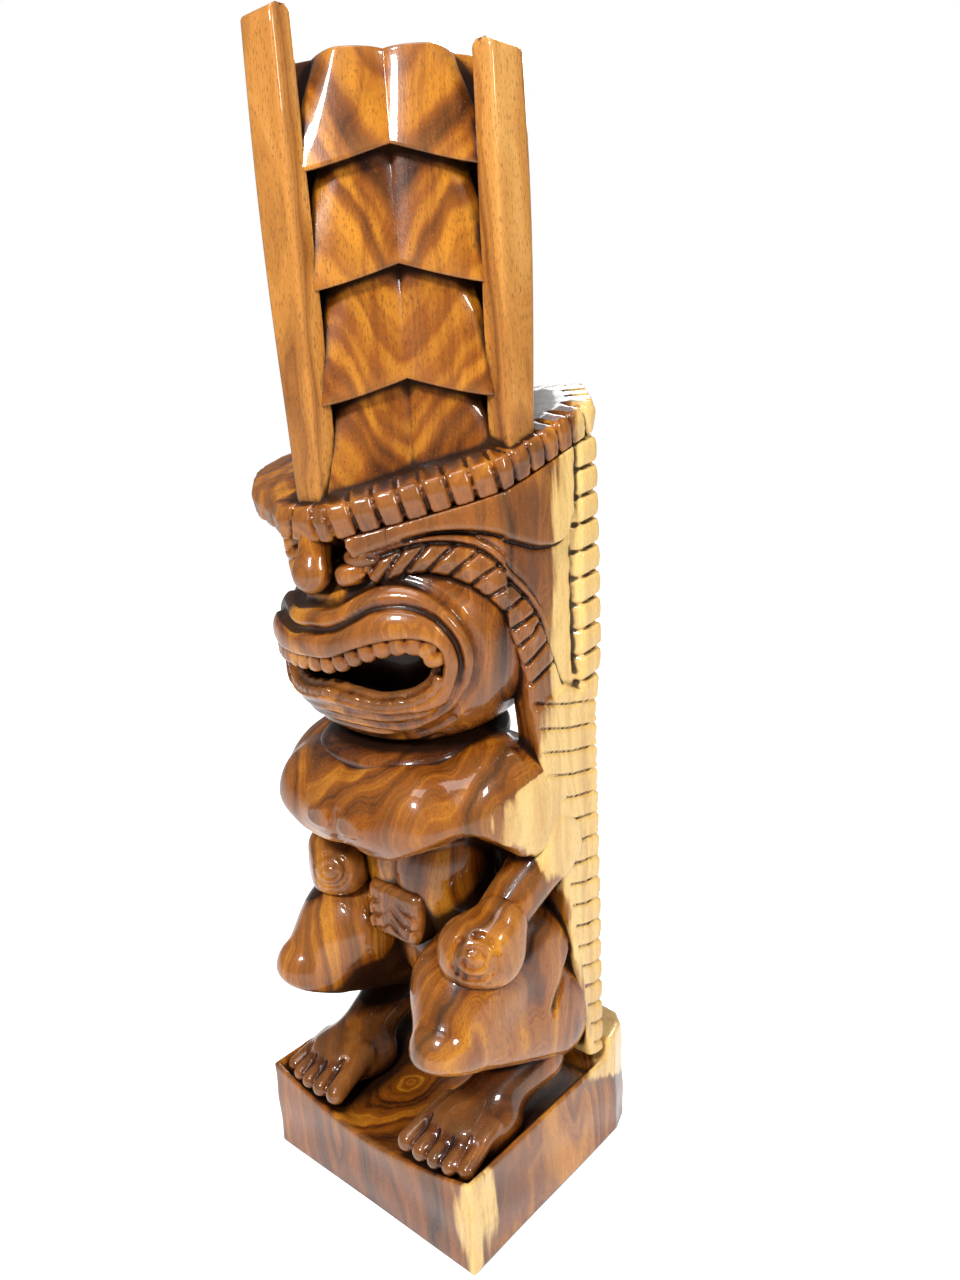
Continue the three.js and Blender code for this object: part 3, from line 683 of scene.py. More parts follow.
def head_clay():
    clay = Clay((0, -70, 216), (68, 52, 322), step=FINE, half=True)
    at, x, y, z = clay.whole()
    bearing = np.degrees(np.arctan2(x, HEAD_MID[1] - y))
    reach = np.hypot(x, y - HEAD_MID[1])
    radius = head_radius(np.broadcast_to(bearing, clay.d.shape), z)
    lean = np.clip(1.15 - np.abs(z - HEAD_MID[2]) / 70, 0.45, 1)
    clay.fill((reach - radius) * lean)
    # the pout of the upper lip and the swell of the cheek
    clay.groove(on_head(curve(POUT)), 9.5, -2.6, 0.8)
    clay.groove(on_head(curve(CHEEK)), 7.5, -1.5, 0.8)
    for line, width, depth in ((LIP_OUTER, 3.6, 3.6), (LIP_INNER, 3.4, 3.6)):
        clay.groove(on_head(curve(line)), width, depth, 1.3)
        clay.groove(on_head(curve(line)), 1.3, 1.5, 1.0)
    for line in JAW_LINES:
        clay.groove(on_head(curve(line)), 2.4, 2.6, 1.3)
    # the mouth
    mouth = [(b * MOUTH_SCALE, h) for b, h in list(curve(MOUTH_TOP)) + list(curve(MOUTH_LOW))]
    u = np.broadcast_to(bearing * MOUTH_SCALE, clay.d.shape)
    zz = np.broadcast_to(z, clay.d.shape)
    near = (np.abs(clay.d) < FAR) | ((reach - radius > -MOUTH_DEEP - 4) & (reach - radius < 12))
    near &= (zz > 240) & (zz < 288) & (u < 68)
    ring = polygon_gap(u[near], zz[near], mouth)
    deep = (radius - reach)[near]
    ring = ring - np.clip((deep - 3) * 0.30, 0, 3)
    hollow = smooth_max(ring, deep - MOUTH_DEEP, 3.0)
    clay.d[near] = smooth_max(np.minimum(clay.d[near], FAR), -hollow, 1.2)
    # the crown and the chin end flat, and the brow leaves room for the nose and the eyes
    clay.keep(below((0, -10, 316), (0, 0, 1)), 2.0)
    clay.keep(lambda x, y, z: 222.5 - z, 3.0)
    clay.cut(ball((0, -66, 322), (17, 12, 13)), 2.0)
    clay.cut(ball((24, -58, 312), (11, 9, 7), rz=40), 2.0)
    return clay


def teeth_clay(line, count, size, drop, inset, square, gum=None):
    """A row of teeth along a lip line. drop is how far they stand into the mouth."""
    clay = Clay((0, -70, 240), (62, -4, 290), step=FINE, half=True)
    path = on_head(curve(line, pieces=10), -inset)
    path = path[path[:, 0] > -0.5]
    run = np.r_[0, np.cumsum(np.linalg.norm(np.diff(path, axis=0), axis=1))]

    def place(s):
        return np.array([np.interp(s, run, path[:, i]) for i in range(3)])

    if gum:
        for a, b in zip(path[:-1:3], path[3::3]):
            inward = np.array([-a[0], -10 - a[1], 0])
            back = inward / np.linalg.norm(inward) * 3.5
            clay.add(limb(a + back + (0, 0, gum), b + back + (0, 0, gum), 2.6, 2.6), 1.0)
    for s in np.linspace(0, run[-1], count * 2 + 1)[1::2]:
        ahead = place(s + 1) - place(s - 1)
        heading = math.degrees(math.atan2(ahead[1], ahead[0]))
        tilt = math.degrees(math.atan2(ahead[2], math.hypot(ahead[0], ahead[1])))
        up = np.cross(ahead, (place(s) - (0, -10, place(s)[2])))
        up = up / np.linalg.norm(up) * (1 if up[2] > 0 else -1)
        if line[0][0] > 40 and place(s)[2] > 258:
            up = up * 0.5
        clay.add(ball(place(s) - up * drop, size, ry=-tilt, rz=heading, power=square), 0.3)
    return clay


def lower_far_side(obs):
    """The figure's right end of the mouth is carved lower than the left."""
    for ob in obs:
        p = read_points(ob.data) / MM
        bearing = np.degrees(np.arctan2(-p[:, 0], HEAD_MID[1] - p[:, 1]))
        share = step01(0, 34, bearing) * step01(250, 270, p[:, 2]) * step01(320, 304, p[:, 2])
        p[:, 2] -= FAR_SIDE_DROP * share
        write_points(ob.data, p)
        ob.data.update()


def nose_clay():
    clay = Clay((0, -72, 286), (28, -36, 328), step=FINE, half=True)
    clay.add(limb((0, -58, 325), (0, -61, 307), 6.2, 7.2))
    clay.add(ball((0, -63, 304), (8.4, 7.0, 7.4)), 4)
    clay.add(ball((15.5, -54.5, 304.5), (7.0, 5.5, 4.6), rz=38, ry=-10, power=3), 2.5)
    clay.groove([(9.2, -66, 298), (9.8, -62, 304), (9, -58, 312)], 2.0, 2.2)
    clay.groove([(21, -58, 300), (22, -50, 305), (20, -47, 310)], 2.0, 1.5)
    return clay


def eye_clay():
    clay = Clay((8, -64, 300), (38, -36, 322), step=FINE)
    clay.add(ball((20, -52, 311), (8, 6, 5), rz=38))
    clay.groove([(14, -60, 311), (20, -57.5, 312.5), (27, -52, 311)], 1.6, 1.8)
    return clay


# ---- neck, torso, arms
def neck_clay():
    clay = Clay((0, -60, 196), (52, 38, 240), half=True)
    clay.add(ball((0, -12, 222), (41.5, 40, 10), rx=5, power=2.6))
    clay.add(block((0, -6, 224), (30, 26, 16), 12), 6)
    return clay


def both(shape, plane, blend):
    """A shape cut by a plane before it joins the clay."""
    f, low, high = shape
    return (lambda x, y, z: smooth_max(f(x, y, z), plane(x, y, z), blend)), low, high


def torso_clay():
    clay = Clay((0, -66, 96), (67, 36, 232), half=True)
    clay.add(ball((0, 0, 146), (30, 27, 62), power=2.4))
    clay.add(ball((8, -10, 158), (25, 24, 34)), 8)
    clay.add(ball((0, -10, 206), (50, 36, 17), power=2.5), 10)
    clay.add(limb((0, -8, 218), (44, -4, 206), 20, 17), 10)
    rising = below((26, -58, 182.5), (0.51, -0.085, -0.85))
    clay.add(both(ball((25, -35, 199), (33, 28, 17.5), rx=22, ry=4, power=2.3), rising, 4), 10)
    clay.add(ball((4, -39, 201), (26, 25, 17), rx=20), 12)
    under = below((60, -20, 183.5), (-0.12, -0.58, -0.80))
    clay.add(limb((18, -38, 209), (33, -45, 204), 13, 12), 12)
    clay.add(block((0, 15, 160), (52, 13, 52), 11), 4)
    clay.add(both(ball((44, -12, 197), (21, 33, 27), rx=6, power=2.3), under, 1.0), 7)
    clay.add(both(ball((47, 5, 191), (19, 22, 27), power=2.4), under, 1.2), 6)
    clay.within(66.5, 4)
    clay.soften(4, lambda x, y, z: step01(186, 194, z) * step01(-12, -24, y))
    clay.groove(curve([(0, -64, 200), (1, -62, 190), (8, -58, 181)]), 6, 1.0, 1.6)
    for k in range(5):
        line = [(6 + 2 * k, -40, 140 + 3 * k), (20 + k, -34, 150 + 4 * k), (34, -18, 166 + 4 * k)]
        clay.groove(curve(line), 1.4, 0.7)
    return clay


def arm_clay():
    clay = Clay((28, -46, 128), (67, 34, 206))
    clay.add(limb((54, 8, 184), (56, 13, 170), 12, 12.5))
    clay.add(limb((57, 14, 172), (50.5, -18, 146), 13, 11.5), 8)
    clay.within(66, 2)
    clay.groove(curve([(40, -18, 152), (48, -10, 157), (58, -8, 152), (62, -12, 143)]), 1.4, 1.2)
    return clay


HAND = (50.0, -31.0, 136.0)


def hand_clay():
    clay = Clay((26, -58, 110), (68, -6, 160), step=FINE)
    clay.add(ball(HAND, (19.5, 16, 16), rz=42, power=2.3))
    clay.add(limb((53, -20, 147), (51, -28, 138), 11.5, 13), 6)
    # the coil of the closed fist, on its outer front side
    ahead = Vector((0.62, -0.76, 0.18)).normalized()
    across = ahead.cross(Vector((0, 0, 1))).normalized()
    up = across.cross(ahead)
    heart = Vector(HAND) + across * 2.0 + up * 2.0
    # reach, degrees turned, first angle, depth and width of each line
    swirls = [(10.5, 320, 95, 5.5, 2.4), (4.6, 290, 60, 4.0, 1.8)]
    swirls += [(reach, 60, 190, 2.8, 1.3) for reach in (14.4, 16.6, 18.8)]
    for reach, turns, first, depth, wide in swirls:
        coil = []
        for k in range(31):
            a = math.radians(first + k * turns / 30)
            spot = heart + across * (reach * math.cos(a)) + up * (reach * 0.9 * math.sin(a))
            coil.append(clay.reach(spot - ahead * 6, ahead))
        clay.groove(coil, wide, depth)
    clay.within(66, 3)
    return clay


# ---- legs and feet
def leg_clay():
    clay = Clay((6, -70, 50), (67, 42, 152))
    clay.add(limb((45, -53, 98), (38, -30, 111), 14.5, 24))
    clay.add(limb((38, -30, 111), (35, 0, 118), 24, 29), 8)
    clay.add(ball((44.5, -54, 96.5), (12, 13, 12.5)), 6)
    clay.add(limb((43, -40, 92), (45, 14, 82), 17, 27), 10)
    clay.add(limb((40, 10, 110), (44, 22, 96), 26, 24), 10)
    clay.keep(below((43, -52, 84.5), (0.15, -0.42, -0.90)), 7)
    clay.within(65.6, 9)
    clay.keep(below((0, 38, 0), (0, 1, 0)), 6)
    clay.keep(lambda x, y, z: 54.5 + 0.34 * np.maximum(-y - 4, 0) - z, 5)
    # the calf shows behind the thigh past a curved crease
    at, x, y, z = clay.part((36, -6, 84), (68, 44, 152))
    behind = 0.845 * (y - 4) - 0.536 * (z - 99)
    along = 0.536 * (y - 4) + 0.845 * (z - 99)
    calf = step01(-1.2, 1.2, behind) * step01(22, 6, behind)
    clay.d[at] += 5.0 * calf * step01(0, 20, along) * step01(44, 60, x)
    crease = [clay.reach((36, 4 + 0.536 * t, 99 + 0.845 * t), (1, 0, 0)) for t in range(-8, 44, 3)]
    clay.groove(crease, 2.4, 4.0, 1.0)
    return clay


TOES = [(25, -66, 5.0), (34.5, -66.5, 4.5), (43, -66, 4.3), (51, -65, 4.2), (58.5, -62.5, 4.0)]


def foot_clay():
    clay = Clay((12, -69, 36), (66, 16, 84), step=FINE)
    clay.add(limb((47, 4, 62), (42, -34, 51), 15, 11))
    clay.add(ball((42, -34, 45), (19, 22, 11), rx=-16, power=2.6), 8)
    for x, y, r in TOES:
        root = (42 + (x - 42) * 0.80, -38, 51.5)
        clay.add(limb(root, (x, y + r, 45.0), r + 0.4, r), 1.6)
    for (xa, _, ra), (xb, _, rb) in zip(TOES[:-1], TOES[1:]):
        mid = (xa + ra + xb - rb) / 2
        back = 41 + (mid - 41) * 0.92
        clay.groove([(mid, -68, 44), (mid, -60, 50), (back, -50, 54)], 1.3, 2.4)
    clay.within(65.5, 2)
    clay.keep(lambda x, y, z: 36.5 - z, 0)
    return clay


def knot_clay():
    clay = Clay((0, -46, 116), (22, -8, 160), step=FINE, half=True)
    clay.add(block((0, -29, 139), (17, 9, 13), 5, rx=-6))
    for rise in (0, 7, 14):
        clay.groove([(0, -38.5, 150 - rise), (8, -38, 144 - rise), (17, -36, 141 - rise)], 1.5, 2.4)
    clay.groove([(11, -38, 152), (12.5, -38, 140), (10, -38, 126)], 1.4, 2.0)
    return clay


# ---- base block
def base_top(x, y):
    """Height of the carved top of the base."""
    x = np.abs(x)
    edge = np.minimum(HALF - x, np.where(y < 0, y + HALF, 99))
    out = np.clip(x / HALF, 0, 1)
    t = 37.5 + 10.0 * out ** 2.2 - 1.5 * np.exp(-((x / 16) ** 2)) * step01(-30, -64, y) + 0 * y
    t = t + 9.0 * step01(35, 41, y) * (1.3 - 0.35 * out ** 2)
    dip = (1.5 + 5.5 * out ** 2) * step01(1.5, 8, edge) * step01(36, 30, y)
    return t - dip


def base_clay():
    clay = Clay((0, -68, -2), (68, 68, 60), half=True)
    at, x, y, z = clay.whole()
    outline = [(0, -67), (66, -67), (67, -66), (67, 44), (63, 56), (55, 64), (44, 67), (0, 67)]
    around = outline + [(-p, q) for p, q in outline[::-1][1:-1]]
    gap = polygon_gap(x[:, :, 0], y[:, :, 0], around)[:, :, None]
    wave = 0.25 + 0.25 * np.sin(z * 0.23 + x * 0.05 + y * 0.07)
    body = smooth_max(gap + wave, z - base_top(x, y), 2.0)
    clay.fill(smooth_max(body, -z, 0.8))
    return clay


# ---- crown tiers and blades
TIER_EDGES = [(496, 453.0), (468, 411.5), (425, 369.5), (383, 334.0)]  # top, and lower edge at the ends
TIER_ARCH = 9.0
TIER_NECK, TIER_FACE = 39.5, 46.5
TIER_WIDE, TIER_NARROW = 36.0, 24.5
CREASE = 2.6
BLADE_THICK = 9.5
BLADE_SOFT = 1.1  # radius of a blade's edges


def facing(degrees):
    """The direction at an angle about the figure's axis, and the one square to it."""
    a = math.radians(degrees)
    return np.array([math.cos(a), math.sin(a), 0]), np.array([-math.sin(a), math.cos(a), 0])


def rows_mesh(name, rows):
    """Closed body through rings of points, from the top ring down, with a point in each end."""
    rows = np.array(rows, float)
    count, n = rows.shape[:2]
    points = np.concatenate([rows.reshape(-1, 3), rows[0].mean(0)[None], rows[-1].mean(0)[None]])
    faces = []
    for r in range(count - 1):
        for k in range(n):
            a, b = r * n + k, r * n + (k + 1) % n
            faces.append((a, a + n, b + n, b))
    for k in range(n):
        faces.append((count * n, k, (k + 1) % n))
        last = (count - 1) * n
        faces.append((count * n + 1, last + (k + 1) % n, last + k))
    return mesh_from(name, points, faces)


def tier(index):
    top, low = TIER_EDGES[index]
    last = index == len(TIER_EDGES) - 1
    arch = 0.0 if last else TIER_ARCH
    samples = 34
    u = np.linspace(-1, 1, 2 * samples + 1)
    u = np.sign(u) * np.abs(u) ** 1.35
    u = np.where(np.abs(u) < 1e-9, 0, u)
    steps = 40

    def ring(v, inward=0.0, lift=0.0, shrink=1.0):
        points = []
        for k in range(4):
            out, side = facing(45 + 90 * k)
            wide = TIER_WIDE - (TIER_WIDE - TIER_NARROW) * (1 - v) ** 1.5
            face = TIER_NECK + (TIER_FACE - TIER_NECK) * v ** 1.25
            n = face - CREASE * np.exp(-np.abs(u) / 0.20) - inward
            n = n - 4.0 * np.clip(np.abs(u) - 0.5, 0, 1) ** 2
            n = n - (1 - v) ** 2 * 5.0 * np.clip(np.abs(u) - 0.7, 0, 1) ** 1.5 / 0.3 ** 1.5
            bottom = low + arch * (1 - np.abs(u)) ** 1.35
            dip = 1.0 * np.exp(-np.abs(u) / 0.3) + 1.2 * np.abs(u) ** 4
            high = top - (dip if index == 0 else 0)
            z = high + (bottom - high) * v + lift
            for i in range(len(u)):
                points.append(n[i] * shrink * out + u[i] * wide * shrink * side + np.array([0, 0, z[i]]))
            # the corner between two faces, behind a blade
            reach = (face - 6 + wide) * 0.7071 * shrink * 0.93
            points.append(facing(90 + 90 * k)[0] * reach + np.array([0, 0, z[-1]]))
        return points

    flat_top = []
    for shrink, wavy in ((0.3, 0.0), (0.7, 0.0), (0.92, 0.6)):
        points = np.array(ring(0, 1.2, 0.3, shrink))
        points[:, 2] = top - 0.5 + wavy * (points[:, 2] - top)
        flat_top.append(points)
    rows = flat_top + [ring(0, 1.2, 0.3), ring(0, 0.25, -0.1)]
    rows += [ring(v) for v in np.linspace(0.012, 0.985, steps)]
    rows += [ring(1, 0.35, -0.15), ring(1, 1.4, 0.0), ring(1, 5.5, 0.5), ring(1, 8.0, 2.0)]
    rows.append(ring(1, 10.0, 5.0, 0.6))
    ob = rows_mesh(f"crown_tier_{index + 1}", rows)
    dress(ob, [f"crown_tier_{index + 1}"], "heartwood")
    solids.append(ob)


def blade(name, bearing, wide, top, foot, reach):
    """A flat upright blade at a corner of the crown."""
    out, side = facing(bearing)
    up = np.array([0, 0, 1.0])

    def ring(z, w, front, back, bow=0.0):
        corners = [(front, -w), (front, w), (back, w), (back, -w)]
        points = []
        for i, (p, q) in enumerate(corners):
            before, after = corners[i - 1], corners[(i + 1) % 4]
            for toward, far in ((before, 3.2), (before, 1.0), (None, 0.29), (after, 1.0), (after, 3.2)):
                if toward is None:
                    c = np.array([p, q]) + BLADE_SOFT * far * np.sign([(front + back) / 2 - p, -q])
                else:
                    d = np.array(toward) - (p, q)
                    c = np.array([p, q]) + d / np.linalg.norm(d) * BLADE_SOFT * far
                c = c + np.array([bow * (1 - (c[1] / max(w, 1)) ** 2), 0])
                points.append(out * c[0] + side * c[1] + up * z)
        return points

    rows = []
    count = 30
    for k in range(count + 1):
        t = k / count
        z = top - 2.5 - (top - 2.5 - foot) * t
        w = wide * (0.93 + 0.07 * math.sin(math.pi * min(1, t * 1.3))) - 1.6 * t ** 3
        front = reach - 1.6 * t ** 2.5 + 0.5 * math.sin(t * 5)
        rows.append(ring(z, w, front, front - BLADE_THICK - 2 * t, 0.35))
    inner = reach - BLADE_THICK
    head = [ring(top, wide * 0.86, reach - 4.2, inner + 3),
            ring(top - 0.25, wide * 0.90, reach - 2.6, inner + 1.6),
            ring(top - 1.4, wide * 0.925, reach - 0.6, inner + 0.4, 0.2)]
    ob = rows_mesh(name, head + rows)
    dress(ob, [name], "amber_heartwood")
    solids.append(ob)


# ---- wood
SAP_SCALE = 0.12  # metres from the heart of the log for a limit of 1
# height in metres and the share of SAP_SCALE past which the wood is pale
SAP_LIMIT = [
    (0.045, 0.70), (0.062, 0.80), (0.10, 0.84), (0.143, 0.88), (0.160, 0.74), (0.180, 0.66), (0.193, 0.615),
    (0.206, 0.625), (0.216, 0.82), (0.26, 0.875), (0.30, 0.90), (0.345, 0.905), (0.365, 0.91), (0.38, 1.0),
]
CURVE_SCALE = 2.0  # a curve of the sap limit runs over heights up to half a metre
RING_SCALE = 80.0  # one wide band of the rings is about seven millimetres
PITH_X, PITH_Y = 0.010, 0.025  # metres from the pith to the figure's axis
# the dark of stain and of painted shade, laid into hollows, creases and the mouth
STAIN_AND_SHADE = (0.012, 0.0045, 0.0025, 1)
PURPLE_WOOD = (0.13, 0.040, 0.018, 1)
PALE_WOOD, PALE_STREAK = (0.83, 0.56, 0.20, 1), (0.62, 0.36, 0.11, 1)
# the last of these is the lighter amber of open edges: rubbed wear and painted light
PORE, FLECK, RUBBED_AND_LIT = (0.05, 0.016, 0.006, 1), (0.55, 0.25, 0.06, 1), (0.52, 0.24, 0.075, 1)


class Value:
    """A number that a node gives out, so that sums of such numbers can be written as sums."""

    def __init__(self, socket):
        self.socket = socket

    def __add__(self, other):
        return maths("ADD", self, other)

    def __sub__(self, other):
        return maths("SUBTRACT", self, other)

    def __rsub__(self, other):
        return maths("SUBTRACT", other, self)

    def __mul__(self, other):
        return maths("MULTIPLY", self, other)


def join(socket, value):
    """Feeds a node's input with another node's output or with a plain value."""
    if isinstance(value, Value):
        value = value.socket
    if isinstance(value, bpy.types.NodeSocket):
        socket.id_data.links.new(value, socket)
    else:
        socket.default_value = value


def maths(kind, a, b=0.0, clamp=False):
    """Works out one sum of a and b, of which at least one is a Value."""
    tree = (a if isinstance(a, Value) else b).socket.id_data
    n = tree.nodes.new("ShaderNodeMath")
    n.operation = kind
    n.use_clamp = clamp
    join(n.inputs[0], a)
    join(n.inputs[1], b)
    return Value(n.outputs[0])


def root(value):
    return maths("SQRT", value)


def wood(name, light, mid, dark, gloss, sap_shift=0.0, flames=1.0):
    """Varnished monkeypod: rings round an off-centre pith, pale sapwood outside, stain and painted shade in
    the hollows.
    """
    mat = bpy.data.materials.new(name)
    mat.use_nodes = True
    tree = mat.node_tree
    tree.nodes.clear()

    def node(kind, inputs, **settings):
        n = tree.nodes.new(kind)
        for key, value in settings.items():
            setattr(n, key, value)
        for key, value in inputs.items():
            join(n.inputs[key], value)
        return n

    def smooth(value, low, high):
        ends = {"Value": value, "From Min": low, "From Max": high}
        n = node("ShaderNodeMapRange", ends, interpolation_type="SMOOTHSTEP")
        return Value(n.outputs["Result"])

    def mix(a, b, share):
        return node("ShaderNodeMix", {0: share, 6: a, 7: b}, data_type="RGBA").outputs[2]

    def noise(vector, scale, detail=4.0, rough=0.55):
        inputs = {"Vector": vector, "Scale": scale, "Detail": detail, "Roughness": rough}
        return Value(node("ShaderNodeTexNoise", inputs).outputs["Fac"])

    def drawn_out(share):
        """Places squeezed in height, which draws a noise out along the log."""
        return node("ShaderNodeVectorMath", {0: place, 1: (1, 1, share)}, operation="MULTIPLY").outputs[0]

    def bands(distance, detail, rough):
        """Noise that changes with a single distance."""
        vector = node("ShaderNodeCombineXYZ", {0: distance * RING_SCALE}).outputs[0]
        return noise(vector, 1.0, detail, rough)

    place = node("ShaderNodeTexCoord", {}).outputs["Object"]
    x, y, z = [Value(axis) for axis in node("ShaderNodeSeparateXYZ", {0: place}).outputs]
    wander = (noise(drawn_out(0.35), 14.0, 3.0) - 0.5) * 0.055
    wander = wander + (noise(drawn_out(0.22), 38.0, 3.0) - 0.5) * 0.014
    px = x + PITH_X
    py = y + PITH_Y
    rings = root(px * px + py * py) + wander
    # dark and light bands of the growth rings
    band = bands(rings, 5.0, 0.62)
    fine_band = bands(rings * 4.2, 3.0, 0.6)
    streak = noise(drawn_out(0.07), 120.0, 5.0, 0.6)
    cloud = noise(place, 9.0, 4.0, 0.5)
    tone = smooth(band, 0.36, 0.64) * 0.74 + smooth(fine_band, 0.3, 0.72) * 0.22
    tone = tone + smooth(streak, 0.3, 0.7) * 0.16
    tone = maths("ADD", tone, (cloud - 0.5) * 0.75, clamp=True)
    # on the crown the rings run out as flames that rise to each side of a face's crease
    across = maths("MINIMUM", maths("ABSOLUTE", x + y), maths("ABSOLUTE", x - y)) * 0.7071
    bow = root(across * across + 0.00002)
    flame = bands((z - bow * 1.5) * 0.52 + wander, 2.0, 0.45)
    on_crown = smooth(z, 0.328, 0.345) * flames
    tone = tone * (1.0 - on_crown * 0.55) + on_crown * (smooth(flame, 0.40, 0.70) * 0.66)
    ramp = node("ShaderNodeValToRGB", {0: tone})
    stops = ramp.color_ramp.elements
    stops[0].position, stops[0].color = 0.06, (*light, 1)
    stops[1].position, stops[1].color = 0.97, (*dark, 1)
    stops.new(0.44).color = (*mid, 1)
    purple = noise(drawn_out(0.6), 17.0, 3.0)
    heart = mix(ramp.outputs[0], PURPLE_WOOD, smooth(purple, 0.56, 0.74) * 0.45)
    # how far from the heart of the log the sapwood begins, at each height
    grow = node("ShaderNodeFloatCurve", {"Value": z * CURVE_SCALE})
    points = grow.mapping.curves[0].points
    points[0].location, points[1].location = (0.0, 0.725), (1.0, 1.0)
    for height, value in SAP_LIMIT:
        points.new(height * CURVE_SCALE, value)
    grow.mapping.update()
    limit = Value(grow.outputs[0]) * SAP_SCALE
    # under the back of the side the heart comes round to the corner again
    low_back = smooth(y, -0.01, 0.03) * (1.0 - smooth(z, 0.010, 0.052))
    limit = limit + low_back * 0.035 - sap_shift
    ragged = (noise(drawn_out(0.08), 210.0, 3.0) - 0.5) * 0.011
    ragged = ragged + (noise(place, 21.0, 2.0) - 0.5) * 0.012
    v = y + (smooth(z, 0.06, 0.15) * 0.023 + 0.022)
    past = root(px * px + v * v) + ragged - limit
    sap = smooth(past, -0.0012, 0.0022)
    edge_band = smooth(past, -0.009, -0.001) * (1.0 - sap)
    heart = mix(heart, (*[c * 0.45 for c in dark], 1), edge_band * 0.30)
    pale_tone = streak * 0.6 + fine_band * 0.4
    colour = mix(heart, mix(PALE_WOOD, PALE_STREAK, smooth(pale_tone, 0.40, 0.66)), sap)
    # pores and flecks
    pore = noise(drawn_out(0.28), 1500.0, 3.0, 0.6)
    colour = mix(colour, PORE, smooth(pore, 0.52, 0.68) * (0.55 - sap * 0.35))
    mottle = noise(place, 1100.0, 2.0)
    colour = mix(colour, FLECK, smooth(mottle, 0.56, 0.74) * 0.16)
    # stain and painted shade lie in the hollows; edges and open places are rubbed lighter, partly with
    # painted light
    hollow = Value(node("ShaderNodeAttribute", {}, attribute_name="hollow").outputs["Fac"])
    stain_and_shade = hollow + (noise(place, 160.0, 3.0) - 0.5) * 0.25
    deep = smooth(stain_and_shade, -0.03, 0.34)
    # painted shade and stain: the more closed in a place is, the darker
    colour = mix(colour, STAIN_AND_SHADE, deep * 0.93)
    # painted light and rubbed wear: open, standing-out places and edges turn a lighter amber
    worn_and_lit = smooth(hollow * -1.0, 0.10, 0.45)
    colour = mix(colour, RUBBED_AND_LIT, worn_and_lit * ((1.0 - sap) * 0.18))

    rough = noise(drawn_out(0.3), 60.0, 3.0) * 0.16 + gloss
    height = pore * 0.35 + noise(drawn_out(0.5), 130.0, 3.0) * 0.65
    ripple = noise(drawn_out(0.7), 110.0, 2.0)
    bump = node("ShaderNodeBump", {"Strength": 0.16, "Distance": 0.0012, "Height": height})
    coat_bump = node("ShaderNodeBump", {"Strength": 0.07, "Distance": 0.001, "Height": ripple})
    shader = node("ShaderNodeBsdfPrincipled", {
        "Base Color": colour,
        "Roughness": maths("ADD", rough, deep * 0.12, clamp=True),
        "IOR": 1.5,
        "Specular IOR Level": 0.16,
        "Coat Weight": 0.75 - deep * 0.55,
        "Coat Roughness": 0.05,
        "Coat IOR": 1.5,
        "Normal": bump.outputs[0],
        "Coat Normal": coat_bump.outputs[0],
    })
    node("ShaderNodeOutputMaterial", {0: shader.outputs[0]})
    return mat


HEART = ((0.58, 0.225, 0.015), (0.245, 0.064, 0.004), (0.026, 0.0050, 0.0015))  # light, middle and dark
DARK_HEART = ((0.33, 0.10, 0.012), (0.14, 0.036, 0.005), (0.030, 0.007, 0.003))
AMBER_HEART = ((0.74, 0.37, 0.090), (0.54, 0.215, 0.035), (0.22, 0.065, 0.010))
woods = {
    "heartwood": wood("heartwood", *HEART, 0.20),
    "dark_heartwood": wood("dark_heartwood", *DARK_HEART, 0.18),
    "amber_heartwood": wood("amber_heartwood", *AMBER_HEART, 0.26, flames=0.0),
    "sapwood": wood("sapwood", *HEART, 0.24, 0.013),
}

# ---- the pieces
# the figure's right leg, arm and fist sit higher than the left ones
RIGHT_LEG_SHIFT, RIGHT_ARM_SHIFT, RIGHT_HAND_SHIFT = (0, -1, 8), (7, -4, 11), (13, -7, 17)
RIGHT_HAND_SIZE, RIGHT_HAND_SPIN = 0.8, 62
skin("base_block", base_clay(), ["base_block"], "heartwood", rounds=1, share=0.35)
skin("foot", foot_clay(), ["foot"], "dark_heartwood", pair=True, share=0.6)
skin("leg", leg_clay(), ["thigh", "shin"], "heartwood", pair=True, shift=RIGHT_LEG_SHIFT)
skin("hand", hand_clay(), ["hand"], "heartwood", pair=True, share=0.6, shift=RIGHT_HAND_SHIFT,
     size=RIGHT_HAND_SIZE, spin=RIGHT_HAND_SPIN)
skin("forearm", arm_clay(), ["forearm"], "heartwood", pair=True, shift=RIGHT_ARM_SHIFT)
skin("loincloth_knot", knot_clay(), ["loincloth_knot"], "dark_heartwood")
torso_nodes = ["chest", "belly", "left_upper_arm", "right_upper_arm"]
skin("torso", torso_clay(), torso_nodes, "heartwood", rounds=5)
skin("neck", neck_clay(), ["neck"], "dark_heartwood")
lower_far_side(skin("head", head_clay(), ["head"], "heartwood", share=0.7))
skin("nose", nose_clay(), ["nose"], "heartwood")
skin("eye", eye_clay(), ["eye"], "dark_heartwood", pair=True)
upper = teeth_clay(MOUTH_TOP, 9, (3.7, 3.4, 5.0), drop=2.4, inset=3.4, square=2.5)
lower_far_side(skin("upper_teeth", upper, ["upper_teeth"], "heartwood"))
lower = teeth_clay(MOUTH_LOW, 11, (2.9, 2.6, 2.7), drop=-0.6, inset=3.6, square=4.0, gum=3.0)
skin("lower_teeth", lower, ["lower_teeth"], "dark_heartwood")
hood_nodes = ["eye_braid", "temple_panel", "back_braid", "cape_braid"]
skin("hood", hood_clay(), hood_nodes, "sapwood", pair=True, share=0.6)
skin("brow_core", hood_core_clay(), [], "heartwood", share=0.4)
rims = ["front_rim", "left_cheek_rim", "right_cheek_rim", "left_side_rim", "right_side_rim",
        "left_corner_rim", "right_corner_rim", "back_rim"]
swell_far_cheek(skin("brow_plate", plate_clay(), ["brow_plate"] + rims, "heartwood", share=0.6))
for i in range(len(TIER_EDGES)):
    tier(i)
